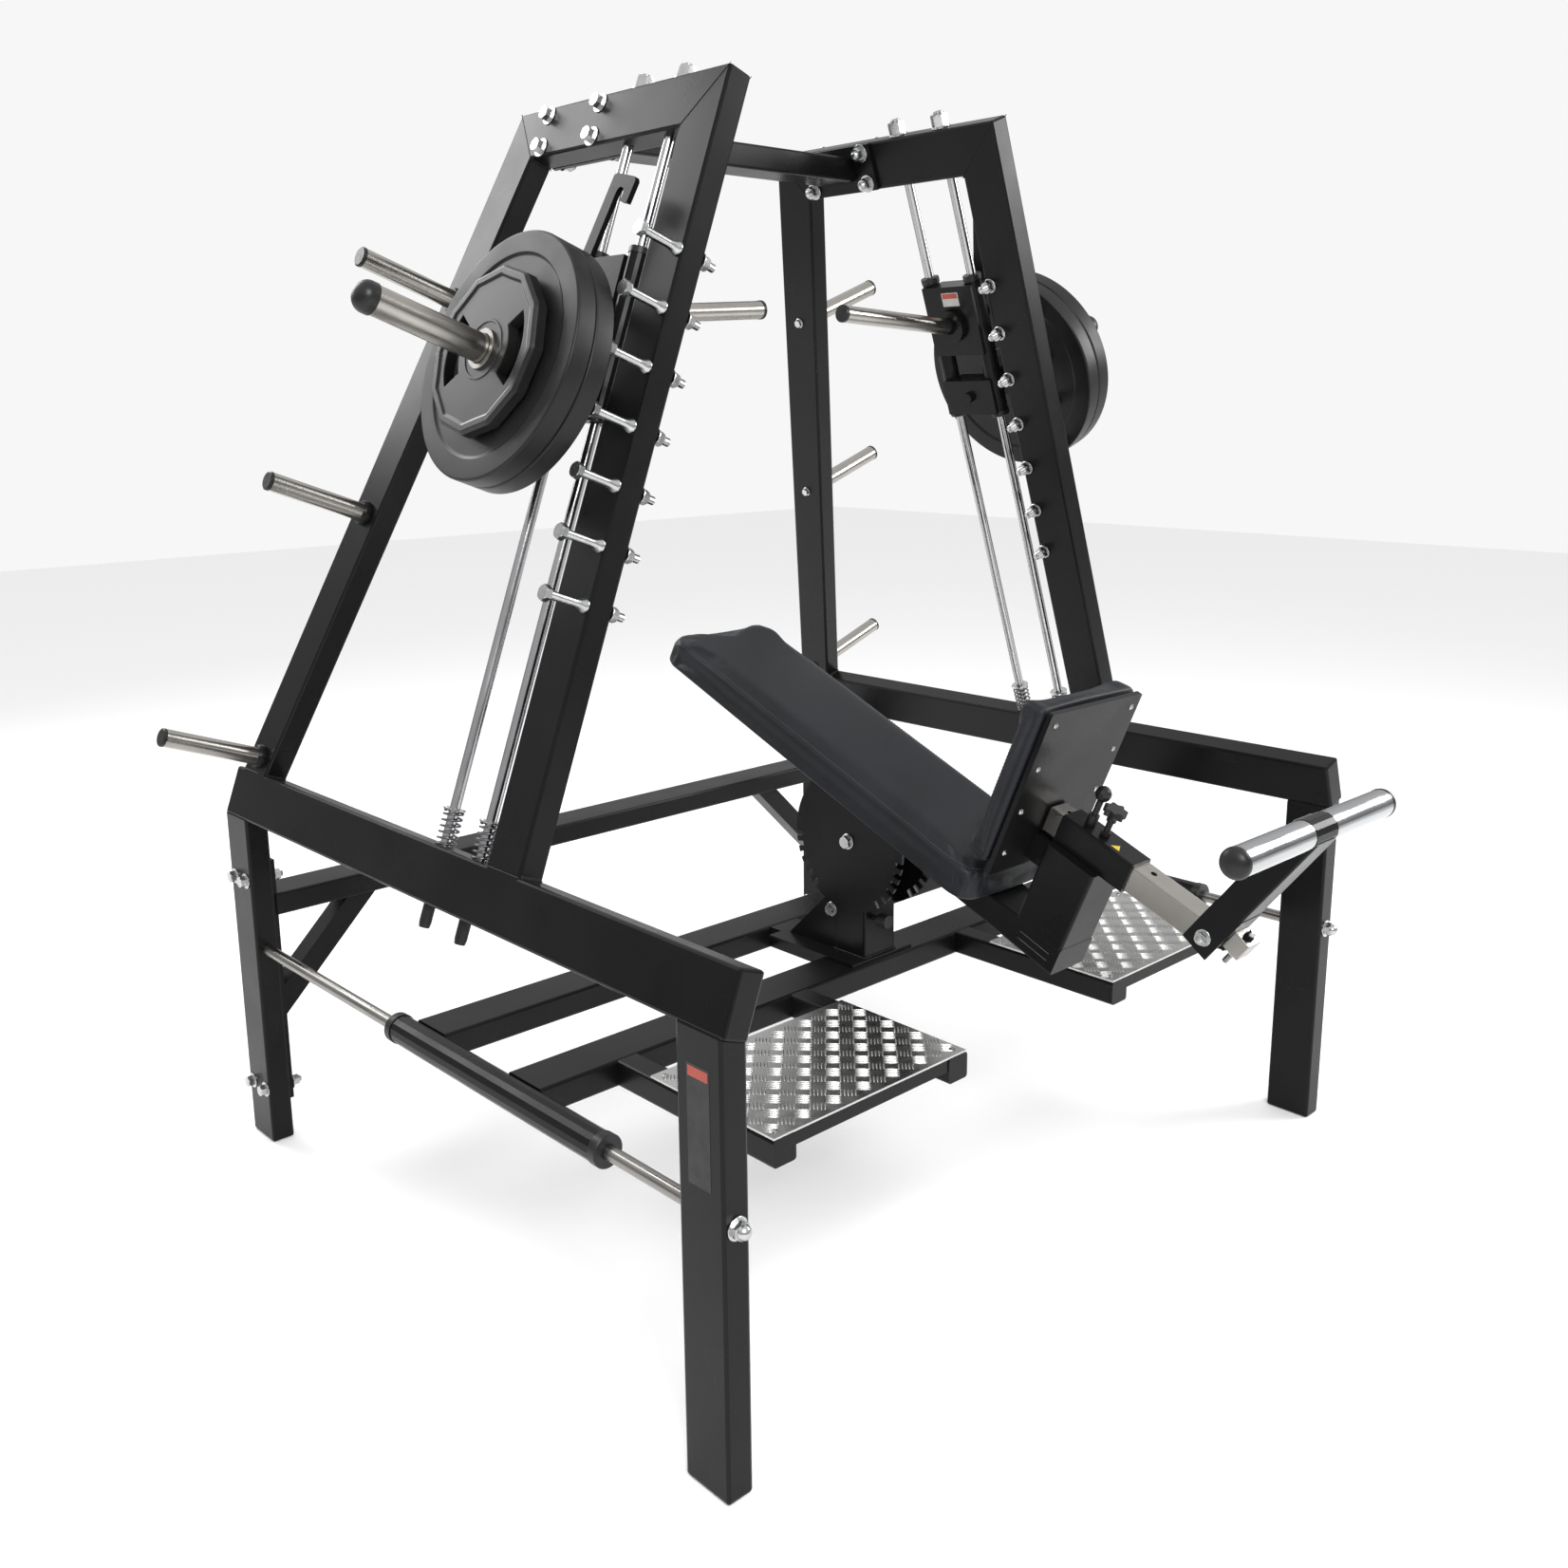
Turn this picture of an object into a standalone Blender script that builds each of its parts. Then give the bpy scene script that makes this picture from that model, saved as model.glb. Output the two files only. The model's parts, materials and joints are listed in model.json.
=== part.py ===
"""A plate-loaded press: two side frames lean towards each other and carry a weight carriage each.

Between them an adjustable bench stands on a sled that runs fore and aft on two rails.
Metres, +Z up. X is left to right, -Y is the front, and the origin is on the floor below the
middle of the whole machine. The sizes in Y are written from a line 40 mm behind the middle of
each pair of guide rods, and one empty then moves every piece to the middle of the machine.
Each side frame is drawn in its own leaning plane: u runs along Y, v up the plane from the
bottom beam's outer edge, and t from the outer face inwards. The bench is drawn from its pivot:
l runs along the bench towards its high end, and n stands square to it.
"""

import math

import bmesh
import bpy

# Side frames: 100 x 50 tube, in a plane that leans inwards
LEAN = math.radians(20.5)
BEAM_X = 0.905
BEAM_Z = 0.750
TUBE_WIDE = 0.100
TUBE_THICK = 0.050
TUBE_CORNER = 0.005
BEAM_FRONT = -0.805
BEAM_BACK = 0.845
FRAME_TALL = 1.5245
UPRIGHT_FRONT = -0.2525
REAR_LEAN = math.atan(0.3092)
REAR_TOP = 0.302
LEG_FRONT = -0.800
LEG_BACK = BEAM_BACK - TUBE_WIDE - 0.001

# Safety pegs, storage horns and guide rods of a side frame
PEG_COUNT = 7
PEG_TOP = 1.195
PEG_PITCH = 0.104
PEG_EDGE = 0.012
PEG_RADIUS = 0.008
PEG_REACH = 0.090
PEG_INSIDE = 0.034
PEG_SIDES = 8
PEG_HEAD = 0.0145
PEG_HEAD_THICK = 0.012
PEG_NUT = 0.0135
PEG_NUT_THICK = 0.016
HORN_HEIGHTS = (1.140, 0.690, 0.140)
HORN_RADIUS = 0.019
HORN_REACH = 0.220
HORN_BOLT = 0.006
HORN_COLLAR = 0.014
ROD_BACK = 0.020
ROD_SPACING = 0.120
ROD_RADIUS = 0.010
ROD_NUT = 0.018
ROD_NUT_TALL = 0.030
SPRING_RADIUS = ROD_RADIUS + 0.0065
SPRING_WIRE = 0.0045
SPRING_TALL = 0.072
SPRING_TURNS = 4
SPRING_WASHER = 0.021
SPRING_WASHER_THICK = 0.005

# Cross members
CROSSBAR_FRONT = 0.140
CROSSBAR_BASE = BEAM_Z + FRAME_TALL * math.cos(LEAN) - 0.092
CROSSBAR_THICK = 0.050
FLANGE_THICK = 0.008
FLANGE_FRONT = 0.083
FLANGE_LONG = 0.215
REAR_BAR_Z = 0.523
REAR_PLATE_TOP = 0.650
REAR_PLATE_BASE = 0.090
REAR_PLATE_THICK = 0.008
BRACE_THICK = 0.050
BRACE_TOP = BEAM_X - 0.280

# Rails and sled
RAIL_X = BEAM_X - TUBE_THICK / 2
RAIL_Z = 0.452
RAIL_RADIUS = 0.0125
RAIL_NUT = 0.016
SLEEVE_RADIUS = RAIL_RADIUS + 0.015
SLEEVE_FRONT = -0.490
SLEEVE_BACK = 0.175
SLED_BEAM = 0.100
SLED_REAR_BEAM = 0.030
SLED_FRONT_BEAM = -0.280
SLED_TUBE = 0.050
SLED_TIE = 0.080
STEP_FRONT = -0.685
STEP_INSIDE = 0.225
STEP_OUTSIDE = BEAM_X - 0.205
STEP_PLATE_BACK = -0.372
STEP_PLATE_THICK = 0.003
STEP_LIP = 0.025

# Pedestal, and the bench pivot that it carries
POST_X = 0.046
POST_BACK = -0.176
POST_FRONT = -0.262
POST_TOP = 0.752
POST_WALL = 0.006
FOOT_PLATE_FRONT = -0.270
FOOT_PLATE_BACK = -0.020
FOOT_PLATE_X = 0.090
FOOT_PLATE_THICK = 0.006
GUSSET_BACK = -0.033
GUSSET_TOP = 0.590
PIVOT_Y = -0.219
PIVOT_Z = 0.729
PIVOT_RADIUS = 0.008

# Bench
INCLINE = math.radians(22.5)
BENCH_BEAM_X = 0.050
BENCH_BEAM_N = 0.062
BENCH_BEAM_DEEP = 0.058
BENCH_FRONT = -0.529
BENCH_BACK = 0.450
SECTOR_RADIUS = 0.150
SECTOR_THICK = 0.006
SECTOR_SLOT_DEEP = 0.016
SECTOR_SLOT_WIDE = 0.011
SECTOR_STEP = math.radians(9.0)
SECTOR_SLOTS = 6
SECTOR_FIRST_SLOTS = (math.radians(-72.0), math.radians(166.0))
SECTOR_START = math.radians(160.0)
SECTOR_END = math.radians(380.0)
SECTOR_STEPS = 44
SECTOR_LAP = 0.040
PAD_X = 0.150
PAD_FRONT = -0.365
PAD_BACK = 0.580
PAD_THICK = 0.070
PAD_CORNER = 0.020
SEAT_X = 0.135
SEAT_FACE = -0.372
SEAT_PLATE_THICK = 0.010
SEAT_LOW = 0.210
SEAT_HIGH = 0.550
SEAT_PAD_THICK = 0.060
PIN_RADIUS = 0.006
PIN_KNOB = 0.014

# Foot end of the bench
BOX_DEEP = 0.110
SLEEVE_HALF = 0.030
FOOT_SLEEVE_FRONT = -0.577
FOOT_SLEEVE_N = 0.312
FOOT_TUBE_HALF = 0.0248
FOOT_TUBE_BACK = -0.388
FOOT_TUBE_NOSE = 0.014
POP_L = -0.458
POP_BALL = 0.015
STAR_L = -0.492
SCREW_RADIUS = 0.006
FOOT_SETTINGS = (0.045, -0.148)
ARM_L = -0.745
ARM_LEAN = math.radians(15.0)
ARM_LONG = 0.268
ARM_WIDE = 0.055
ARM_THICK = 0.012
ARM_GAP = 0.0015
FOOT_BAR_RADIUS = 0.014
FOOT_BAND = 0.068
FOOT_BAR_HALF = 0.240
BAND_PROUD = 0.001
ROLLER_RADIUS = 0.025
STOP_LUG = 0.036
STOP_LUG_LONG = 0.034
STOP_LUG_BASE = 0.010

# Carriages, handles and plates
CARRIAGE_LOW = 0.898
CARRIAGE_HIGH = 1.215
BEARING_RADIUS = ROD_RADIUS + 0.009
BRIDGE_INNER = 0.047
BRIDGE_OUTER = 0.004
LOWER_BRIDGE_TOP = 0.985
UPPER_BRIDGE_LOW = 1.045
FACE_PLATE = 0.006
LOAD_U = -0.046
LOAD_V = 0.948
LOAD_RADIUS = 0.025
LOAD_REACH = 0.420
LOAD_FLANGE = 0.045
HANDLE_U = -0.040
HANDLE_V = 1.113
HANDLE_SHAFT = 0.012
HANDLE_FLANGE = 0.037
HANDLE_RADIUS = 0.017
HANDLE_LONG = 0.340
HANDLE_RISE = math.radians(24.1)
HOOK_T = -0.044
HOOK_THICK = 0.010
HOOK_LONG = 0.205
HOOK_LEAN = math.radians(14.0)
HOOK_WIDE = 0.026
HOOK_MOUTH = 0.022
HOOK_LIP = 0.036
PLATE_RADIUS = 0.222
PLATE_THICK = 0.038
PLATE_T = -0.094
GRIP_RADIUS = 0.150
GRIP_THICK = 0.028
GRIP_SLOT_INNER = 0.072
GRIP_SLOT_OUTER = 0.112
GRIP_SLOT_HALF = math.radians(34.0)

# Clearances, the lap of a weld, and the steps of a turned ring
GAP = 0.0003
RUNNING = 0.0005
WELD = 0.004
RING_STEPS = 24

BLACK = ((0.018, 0.019, 0.021), 0.42, 0.0)
STEEL = ((0.62, 0.62, 0.60), 0.28, 1.0)
ZINC = ((0.66, 0.66, 0.62), 0.38, 1.0)
CHROME = ((0.80, 0.80, 0.80), 0.10, 1.0)
RUBBER = ((0.020, 0.020, 0.021), 0.70, 0.0)
PLASTIC = ((0.012, 0.012, 0.013), 0.35, 0.0)
VINYL = ((0.022, 0.024, 0.027), 0.48, 0.0)
ALUMINIUM = ((0.72, 0.72, 0.71), 0.35, 1.0)

for item in list(bpy.data.objects):
    bpy.data.objects.remove(item, do_unlink=True)

parts = bpy.data.collections.new("plate_loaded_press")
cutters = bpy.data.collections.new("cutters")
bpy.context.scene.collection.children.link(parts)
bpy.context.scene.collection.children.link(cutters)


def foot_reach():
    """How far in front of the machine's middle the foot bar's band stands."""
    tilt = INCLINE + ARM_LEAN
    l, n = ARM_L, FOOT_SLEEVE_N
    pivot = PIVOT_Y + l * math.cos(INCLINE) - n * math.sin(INCLINE)
    return pivot - ARM_LONG * math.sin(tilt) - ROLLER_RADIUS - BAND_PROUD


CENTRE = bpy.data.objects.new("centre", None)
CENTRE.location = (0.0, -(foot_reach() + BEAM_BACK) / 2, 0.0)
cutters.objects.link(CENTRE)


def guide(name, place, turn=(0.0, 0.0, 0.0)):
    """An empty that carries the pieces of one assembly."""
    empty = bpy.data.objects.new(name, None)
    cutters.objects.link(empty)
    empty.parent = CENTRE
    empty.location = place
    empty.rotation_euler = turn
    return empty


def place(name, mesh, parent, location, turn):
    item = bpy.data.objects.new(name, mesh)
    parts.objects.link(item)
    item.parent = parent or CENTRE
    item.location = location
    item.rotation_euler = turn
    return item


def block(name, parent, low, high, corner=0.0, along=None, turn=(0.0, 0.0, 0.0)):
    """A box between two corners; the edges along one axis, or all of them, can be rounded."""
    size = [b - a for a, b in zip(low, high)]
    centre = [(a + b) / 2 for a, b in zip(low, high)]
    shape = bmesh.new()
    bmesh.ops.create_cube(shape, size=1.0)
    bmesh.ops.scale(shape, vec=size, verts=shape.verts)
    if corner:
        edges = []
        for edge in shape.edges:
            way = (edge.verts[0].co - edge.verts[1].co).normalized()
            if along is None or abs(way[along]) > 0.9:
                edges.append(edge)
        bmesh.ops.bevel(
            shape, geom=edges, offset=corner, segments=2, profile=0.5, affect="EDGES"
        )
    mesh = bpy.data.meshes.new(name)
    shape.to_mesh(mesh)
    shape.free()
    return place(name, mesh, parent, centre, turn)


def rod(name, parent, start, end, radius, far_radius=None, sides=16):
    """A round bar, a hexagon or a cone from one point to another."""
    axis = [b - a for a, b in zip(start, end)]
    middle = [(a + b) / 2 for a, b in zip(start, end)]
    length = math.sqrt(sum(a * a for a in axis))
    shape = bmesh.new()
    bmesh.ops.create_cone(
        shape,
        cap_ends=True,
        segments=sides,
        radius1=radius,
        radius2=radius if far_radius is None else far_radius,
        depth=length,
    )
    mesh = bpy.data.meshes.new(name)
    shape.to_mesh(mesh)
    shape.free()
    if sides > 12:
        mesh.shade_smooth()
        mesh.set_sharp_from_angle(angle=math.radians(35))
    pitch = math.acos(max(-1.0, min(1.0, axis[2] / length)))
    yaw = math.atan2(axis[1], axis[0])
    return place(name, mesh, parent, middle, (0.0, pitch, yaw))


def outline(name, parent, loops, thickness, location=(0.0, 0.0, 0.0), turn=(0.0, 0.0, 0.0)):
    """A flat plate cut to an outline, with any inner loops as holes."""
    curve = bpy.data.curves.new(name, "CURVE")
    curve.dimensions = "2D"
    curve.fill_mode = "BOTH"
    curve.extrude = thickness / 2
    for loop in loops:
        spline = curve.splines.new("POLY")
        spline.points.add(len(loop) - 1)
        for point, (x, y) in zip(spline.points, loop):
            point.co = (x, y, 0.0, 1.0)
        spline.use_cyclic_u = True
    sketch = bpy.data.objects.new(name + "_sketch", curve)
    cutters.objects.link(sketch)
    item = place(name, meshed(sketch, name), parent, location, turn)
    bpy.data.objects.remove(sketch, do_unlink=True)
    return item


def meshed(sketch, name):
    """The closed mesh of a curve object, with its caps welded on."""
    bpy.context.view_layer.update()
    found = sketch.evaluated_get(bpy.context.evaluated_depsgraph_get())
    mesh = bpy.data.meshes.new_from_object(found)
    mesh.name = name
    shape = bmesh.new()
    shape.from_mesh(mesh)
    bmesh.ops.remove_doubles(shape, verts=shape.verts, dist=1e-5)
    bmesh.ops.recalc_face_normals(shape, faces=shape.faces)
    shape.to_mesh(mesh)
    shape.free()
    return mesh


def turned(name, parent, profile, location, turn, steps):
    """A ring: a closed profile of (radius, height) points, outer side first and downwards."""
    mesh = bpy.data.meshes.new(name)
    points = [(radius, 0.0, height) for radius, height in profile]
    mesh.from_pydata(points, [(i, (i + 1) % len(points)) for i in range(len(points))], [])
    item = place(name, mesh, parent, location, turn)
    screw = item.modifiers.new("turn", "SCREW")
    screw.axis = "Z"
    screw.steps = steps
    screw.render_steps = steps
    screw.use_merge_vertices = True
    screw.merge_threshold = 0.00001
    return item


def hide(tool):
    """A tool piece is not part of the model: it only cuts another piece, or is fused to it."""
    parts.objects.unlink(tool)
    cutters.objects.link(tool)
    tool.hide_render = True
    tool.display_type = "WIRE"


def fuse(item, *pieces):
    for piece in pieces:
        join = item.modifiers.new("fuse", "BOOLEAN")
        join.operation = "UNION"
        join.solver = "EXACT"
        join.object = piece
        hide(piece)
    return item


def cut(item, *tools):
    for tool in tools:
        away = item.modifiers.new("cut", "BOOLEAN")
        away.operation = "DIFFERENCE"
        away.solver = "EXACT"
        away.object = tool
        if tool.name in parts.objects:
            hide(tool)
    return item


def soften(item, width, segments=2):
    """Round the sharp edges of a flat-cut piece."""
    bevel = item.modifiers.new("soften", "BEVEL")
    bevel.width = width
    bevel.segments = segments
    bevel.limit_method = "ANGLE"
    bevel.angle_limit = math.radians(40)
    return item


def paint(item, finish):
    """Its own material, in the colour, roughness and metallic value of its finish."""
    colour, roughness, metallic = finish
    material = bpy.data.materials.new(item.name + "_finish")
    material.use_nodes = True
    shader = material.node_tree.nodes["Principled BSDF"]
    shader.inputs["Base Color"].default_value = (*colour, 1.0)
    shader.inputs["Roughness"].default_value = roughness
    shader.inputs["Metallic"].default_value = metallic
    item.data.materials.clear()
    item.data.materials.append(material)
    return item


YZ_PLANE = (math.pi / 2, 0.0, math.pi / 2)
XZ_PLANE = (math.pi / 2, 0.0, 0.0)


class Side:
    """One leaning side: turns (t, u, v) into the local place of its empty."""

    def __init__(self, word, sign):
        self.word = word
        self.sign = sign
        self.plane = guide("plane_" + word, (sign * BEAM_X, 0.0, BEAM_Z), (0.0, -sign * LEAN, 0.0))

    def at(self, t, u, v):
        return (-self.sign * t, u, v)

    def name(self, word):
        return f"{word}_{self.word}"

    def block(self, word, low, high, corner=0.0, along=None):
        a, b = self.at(*low), self.at(*high)
        a, b = [min(p) for p in zip(a, b)], [max(p) for p in zip(a, b)]
        return block(word, self.plane, a, b, corner, along)

    def rod(self, word, start, end, radius, far_radius=None, sides=16):
        return rod(word, self.plane, self.at(*start), self.at(*end), radius, far_radius, sides)


def rear_edge(v):
    """The front edge of the slanted rear upright at a height up the plane."""
    return REAR_TOP + (FRAME_TALL - TUBE_WIDE - v) * math.tan(REAR_LEAN)


REAR_WIDE = TUBE_WIDE / math.cos(REAR_LEAN)
ROD_FRONT = ROD_BACK - ROD_SPACING
MIDDLE_T = TUBE_THICK / 2


def peg_line(side):
    """The same drilled upright stands turned round on the other side, so its holes do too."""
    if side.sign < 0:
        return UPRIGHT_FRONT + PEG_EDGE
    return UPRIGHT_FRONT + TUBE_WIDE - PEG_EDGE


def peg_heights():
    return [PEG_TOP - PEG_PITCH * i for i in range(PEG_COUNT)]


def horn_line(v):
    return rear_edge(v) + REAR_WIDE / 2


def leg(side, front):
    """A leg stands upright under the leaning beam, so its top is cut to the lean."""
    outer = side.sign * BEAM_X
    inner = side.sign * (BEAM_X - TUBE_THICK)
    top = BEAM_Z + WELD
    inner_top = top - TUBE_THICK * math.tan(LEAN)
    loop = [(outer, 0.0), (inner, 0.0), (inner, inner_top), (outer, top)]
    middle = (0.0, front + TUBE_WIDE / 2, 0.0)
    item = outline(side.name("leg"), None, [loop], TUBE_WIDE, middle, XZ_PLANE)
    return soften(item, TUBE_CORNER)


def side_frame(side):
    """Bottom beam, two uprights and top beam in one plane, on two legs, all welded."""
    top = FRAME_TALL
    wide = TUBE_WIDE
    beam_top = wide + TUBE_CORNER
    outer = [
        (BEAM_FRONT, 0.0),
        (BEAM_BACK, 0.0),
        (BEAM_BACK, beam_top),
        (rear_edge(beam_top) + REAR_WIDE, beam_top),
        (rear_edge(top) + REAR_WIDE, top),
        (UPRIGHT_FRONT, top),
        (UPRIGHT_FRONT, beam_top),
        (BEAM_FRONT, beam_top),
    ]
    inner = [
        (UPRIGHT_FRONT + wide, beam_top),
        (UPRIGHT_FRONT + wide, top - wide),
        (rear_edge(top - wide), top - wide),
        (rear_edge(beam_top), beam_top),
    ]
    item = outline(
        side.name("side_frame"),
        side.plane,
        [outer, inner],
        TUBE_THICK,
        side.at(MIDDLE_T, 0.0, 0.0),
        YZ_PLANE,
    )
    soften(item, TUBE_CORNER)
    fuse(item, leg(side, LEG_FRONT), leg(side, LEG_BACK))
    for u in (ROD_BACK, ROD_FRONT):
        hole = side.rod("rod_hole", (MIDDLE_T, u, -0.1), (MIDDLE_T, u, top + 0.1), ROD_RADIUS + GAP)
        cut(item, hole)
    for v in peg_heights():
        ends = (-0.1, peg_line(side), v), (0.1, peg_line(side), v)
        cut(item, side.rod("peg_hole", *ends, PEG_RADIUS + GAP, sides=PEG_SIDES))
    for v in HORN_HEIGHTS:
        ends = (-0.1, horn_line(v), v), (0.1, horn_line(v), v)
        cut(item, side.rod("horn_hole", *ends, HORN_BOLT + GAP, sides=16))
    rail_x = side.sign * RAIL_X
    ends = (rail_x, LEG_FRONT - 0.1, RAIL_Z), (rail_x, LEG_FRONT + TUBE_WIDE + 0.1, RAIL_Z)
    cut(item, rod("rail_hole", None, *ends, RAIL_RADIUS + GAP))
    return paint(item, BLACK)


def safety_peg(side, index, v):
    """A long zinc bolt: hexagon head outside, flared seat on the tube, nut inside."""
    u = peg_line(side)
    item = side.rod(
        side.name(f"safety_peg_{index}"), (-PEG_REACH + WELD, u, v), (TUBE_THICK + PEG_INSIDE, u, v),
        PEG_RADIUS, sides=PEG_SIDES,
    )
    head = side.rod("peg_head", (-PEG_REACH, u, v), (-PEG_REACH + PEG_HEAD_THICK, u, v), PEG_HEAD, sides=6)
    seat = side.rod("peg_seat", (-0.012, u, v), (-GAP, u, v), 0.009, 0.0125, PEG_SIDES)
    nut = side.rod("peg_nut", (TUBE_THICK + GAP, u, v), (TUBE_THICK + PEG_NUT_THICK, u, v), PEG_NUT, sides=6)
    return paint(fuse(item, head, seat, nut), ZINC)


def storage_horn(side, index, v):
    """A stub of steel tube for spare plates, capped, and bolted through the rear upright."""
    u = horn_line(v)
    collar = (-HORN_COLLAR, u, v), (-GAP, u, v)
    base = side.rod("horn_collar", *collar, HORN_RADIUS + 0.006, HORN_RADIUS + 0.008)
    item = side.rod(
        side.name(f"storage_horn_{index}"), (-HORN_REACH, u, v), (-0.004, u, v), HORN_RADIUS
    )
    bolt = side.rod("horn_bolt", (-0.008, u, v), (TUBE_THICK + 0.003, u, v), HORN_BOLT, sides=16)
    ends = (TUBE_THICK + GAP, u, v), (TUBE_THICK + 0.006, u, v)
    head = side.rod("horn_bolt_head", *ends, 2 * HORN_BOLT, 0.008, 16)
    return paint(fuse(item, base, bolt, head), STEEL)


def guide_rod(side, word, u):
    """A hard chrome rod through both beams, with a nut on top and a stub below."""
    top = FRAME_TALL
    ends = (MIDDLE_T, u, -0.030), (MIDDLE_T, u, top + ROD_NUT_TALL + WELD)
    item = side.rod(side.name("guide_rod_" + word), *ends, ROD_RADIUS)
    ends = (MIDDLE_T, u, top + GAP), (MIDDLE_T, u, top + ROD_NUT_TALL)
    nut = side.rod("rod_nut", *ends, ROD_NUT, sides=6)
    stub = side.rod("rod_stub", (MIDDLE_T, u, -0.045), (MIDDLE_T, u, -GAP), 0.011)
    return paint(fuse(item, nut, stub), CHROME)


def bumper_spring(side, word, u):
    """An open coil round the rod on the bottom beam, closed by a washer on top."""
    low = TUBE_WIDE + TUBE_CORNER + SPRING_WIRE + GAP
    curve = bpy.data.curves.new("coil", "CURVE")
    curve.dimensions = "3D"
    curve.bevel_depth = SPRING_WIRE / 2
    curve.bevel_resolution = 0
    curve.use_fill_caps = True
    spline = curve.splines.new("POLY")
    steps = 8
    count = SPRING_TURNS * steps + 1
    spline.points.add(count - 1)
    for i, point in enumerate(spline.points):
        turn = 2 * math.pi * i / steps
        rise = (SPRING_TALL - 2 * SPRING_WIRE) * i / (count - 1)
        point.co = (SPRING_RADIUS * math.cos(turn), SPRING_RADIUS * math.sin(turn), rise, 1.0)
    sketch = bpy.data.objects.new("coil_sketch", curve)
    cutters.objects.link(sketch)
    mesh = meshed(sketch, "coil")
    bpy.data.objects.remove(sketch, do_unlink=True)
    foot = side.at(MIDDLE_T, u, low)
    item = place(side.name("bumper_spring_" + word), mesh, side.plane, foot, (0, 0, 0))
    inner = ROD_RADIUS + 0.001
    base = SPRING_TALL - 2 * SPRING_WIRE
    high = base + SPRING_WASHER_THICK
    profile = [(SPRING_WASHER, high), (SPRING_WASHER, base), (inner, base), (inner, high)]
    washer = turned("spring_washer", side.plane, profile, foot, (0, 0, 0), 16)
    return paint(fuse(item, washer), ZINC)


def top_crossbar():
    """A tube between the two top beams, with a bolted flange at each end."""
    inner_x = BEAM_X - FRAME_TALL * math.sin(LEAN)
    low_z = CROSSBAR_BASE
    high_z = low_z + CROSSBAR_THICK
    back = CROSSBAR_FRONT + TUBE_WIDE
    half = inner_x - TUBE_THICK * math.cos(LEAN) + 0.012
    item = block(
        "top_crossbar", None, (-half, CROSSBAR_FRONT, low_z), (half, back, high_z), TUBE_CORNER, 0
    )
    for side in SIDES:
        low = (TUBE_THICK - 0.050, -1.0, FRAME_TALL - 0.2)
        high = (TUBE_THICK + GAP, 1.0, FRAME_TALL + 0.2)
        cut(item, side.block("crossbar_trim", low, high))
        low = (TUBE_THICK + GAP, FLANGE_FRONT, FRAME_TALL - TUBE_WIDE + 0.001)
        high = (TUBE_THICK + FLANGE_THICK, FLANGE_FRONT + FLANGE_LONG, FRAME_TALL - 0.001)
        fuse(item, side.block("crossbar_flange", low, high))
    return paint(item, BLACK)


def rear_cross_frame():
    """The bar between the rear legs, with a long end plate and a slanting brace at each side."""
    front, back = LEG_BACK, LEG_BACK + TUBE_WIDE
    half = BEAM_X - TUBE_THICK - GAP
    low, high = REAR_BAR_Z, REAR_BAR_Z + TUBE_THICK
    ends = (-half + WELD, front, low), (half - WELD, back, high)
    item = block("rear_cross_frame", None, *ends, TUBE_CORNER, 0)
    for sign in (-1, 1):
        edge = sorted((sign * half, sign * (half - REAR_PLATE_THICK)))
        plate = block(
            "rear_end_plate", None, (edge[0], front + 0.005, REAR_PLATE_BASE),
            (edge[1], back - 0.005, REAR_PLATE_TOP),
        )
        foot = REAR_BAR_Z - (half - BRACE_TOP)
        reach = BRACE_THICK * 0.7
        loop = [
            (sign * (BRACE_TOP - reach), low + 0.006),
            (sign * (BRACE_TOP + reach), low + 0.006),
            (sign * (half - 0.004), foot + reach + 0.010),
            (sign * (half - 0.004), foot - reach + 0.010),
        ]
        brace = outline(
            "rear_brace", None, [loop], BRACE_THICK, (0.0, (front + back) / 2, 0.0), XZ_PLANE
        )
        fuse(item, plate, brace)
    return paint(item, BLACK)


def rail(side):
    """A solid steel bar from the rear leg through the front leg, with a domed nut in front."""
    x = side.sign * RAIL_X
    front = LEG_FRONT
    ends = (x, front - 0.012, RAIL_Z), (x, LEG_BACK - GAP, RAIL_Z)
    item = rod(side.name("rail"), None, *ends, RAIL_RADIUS)
    washer = rod("rail_washer", None, (x, front - 0.004, RAIL_Z), (x, front - GAP, RAIL_Z), 0.019)
    nut = rod("rail_nut", None, (x, front - 0.018, RAIL_Z), (x, front - 0.003, RAIL_Z), RAIL_NUT, sides=6)
    dome = rod("rail_dome", None, (x, front - 0.028, RAIL_Z), (x, front - 0.017, RAIL_Z), 0.007, 0.013)
    return paint(fuse(item, washer, nut, dome), CHROME)


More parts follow.
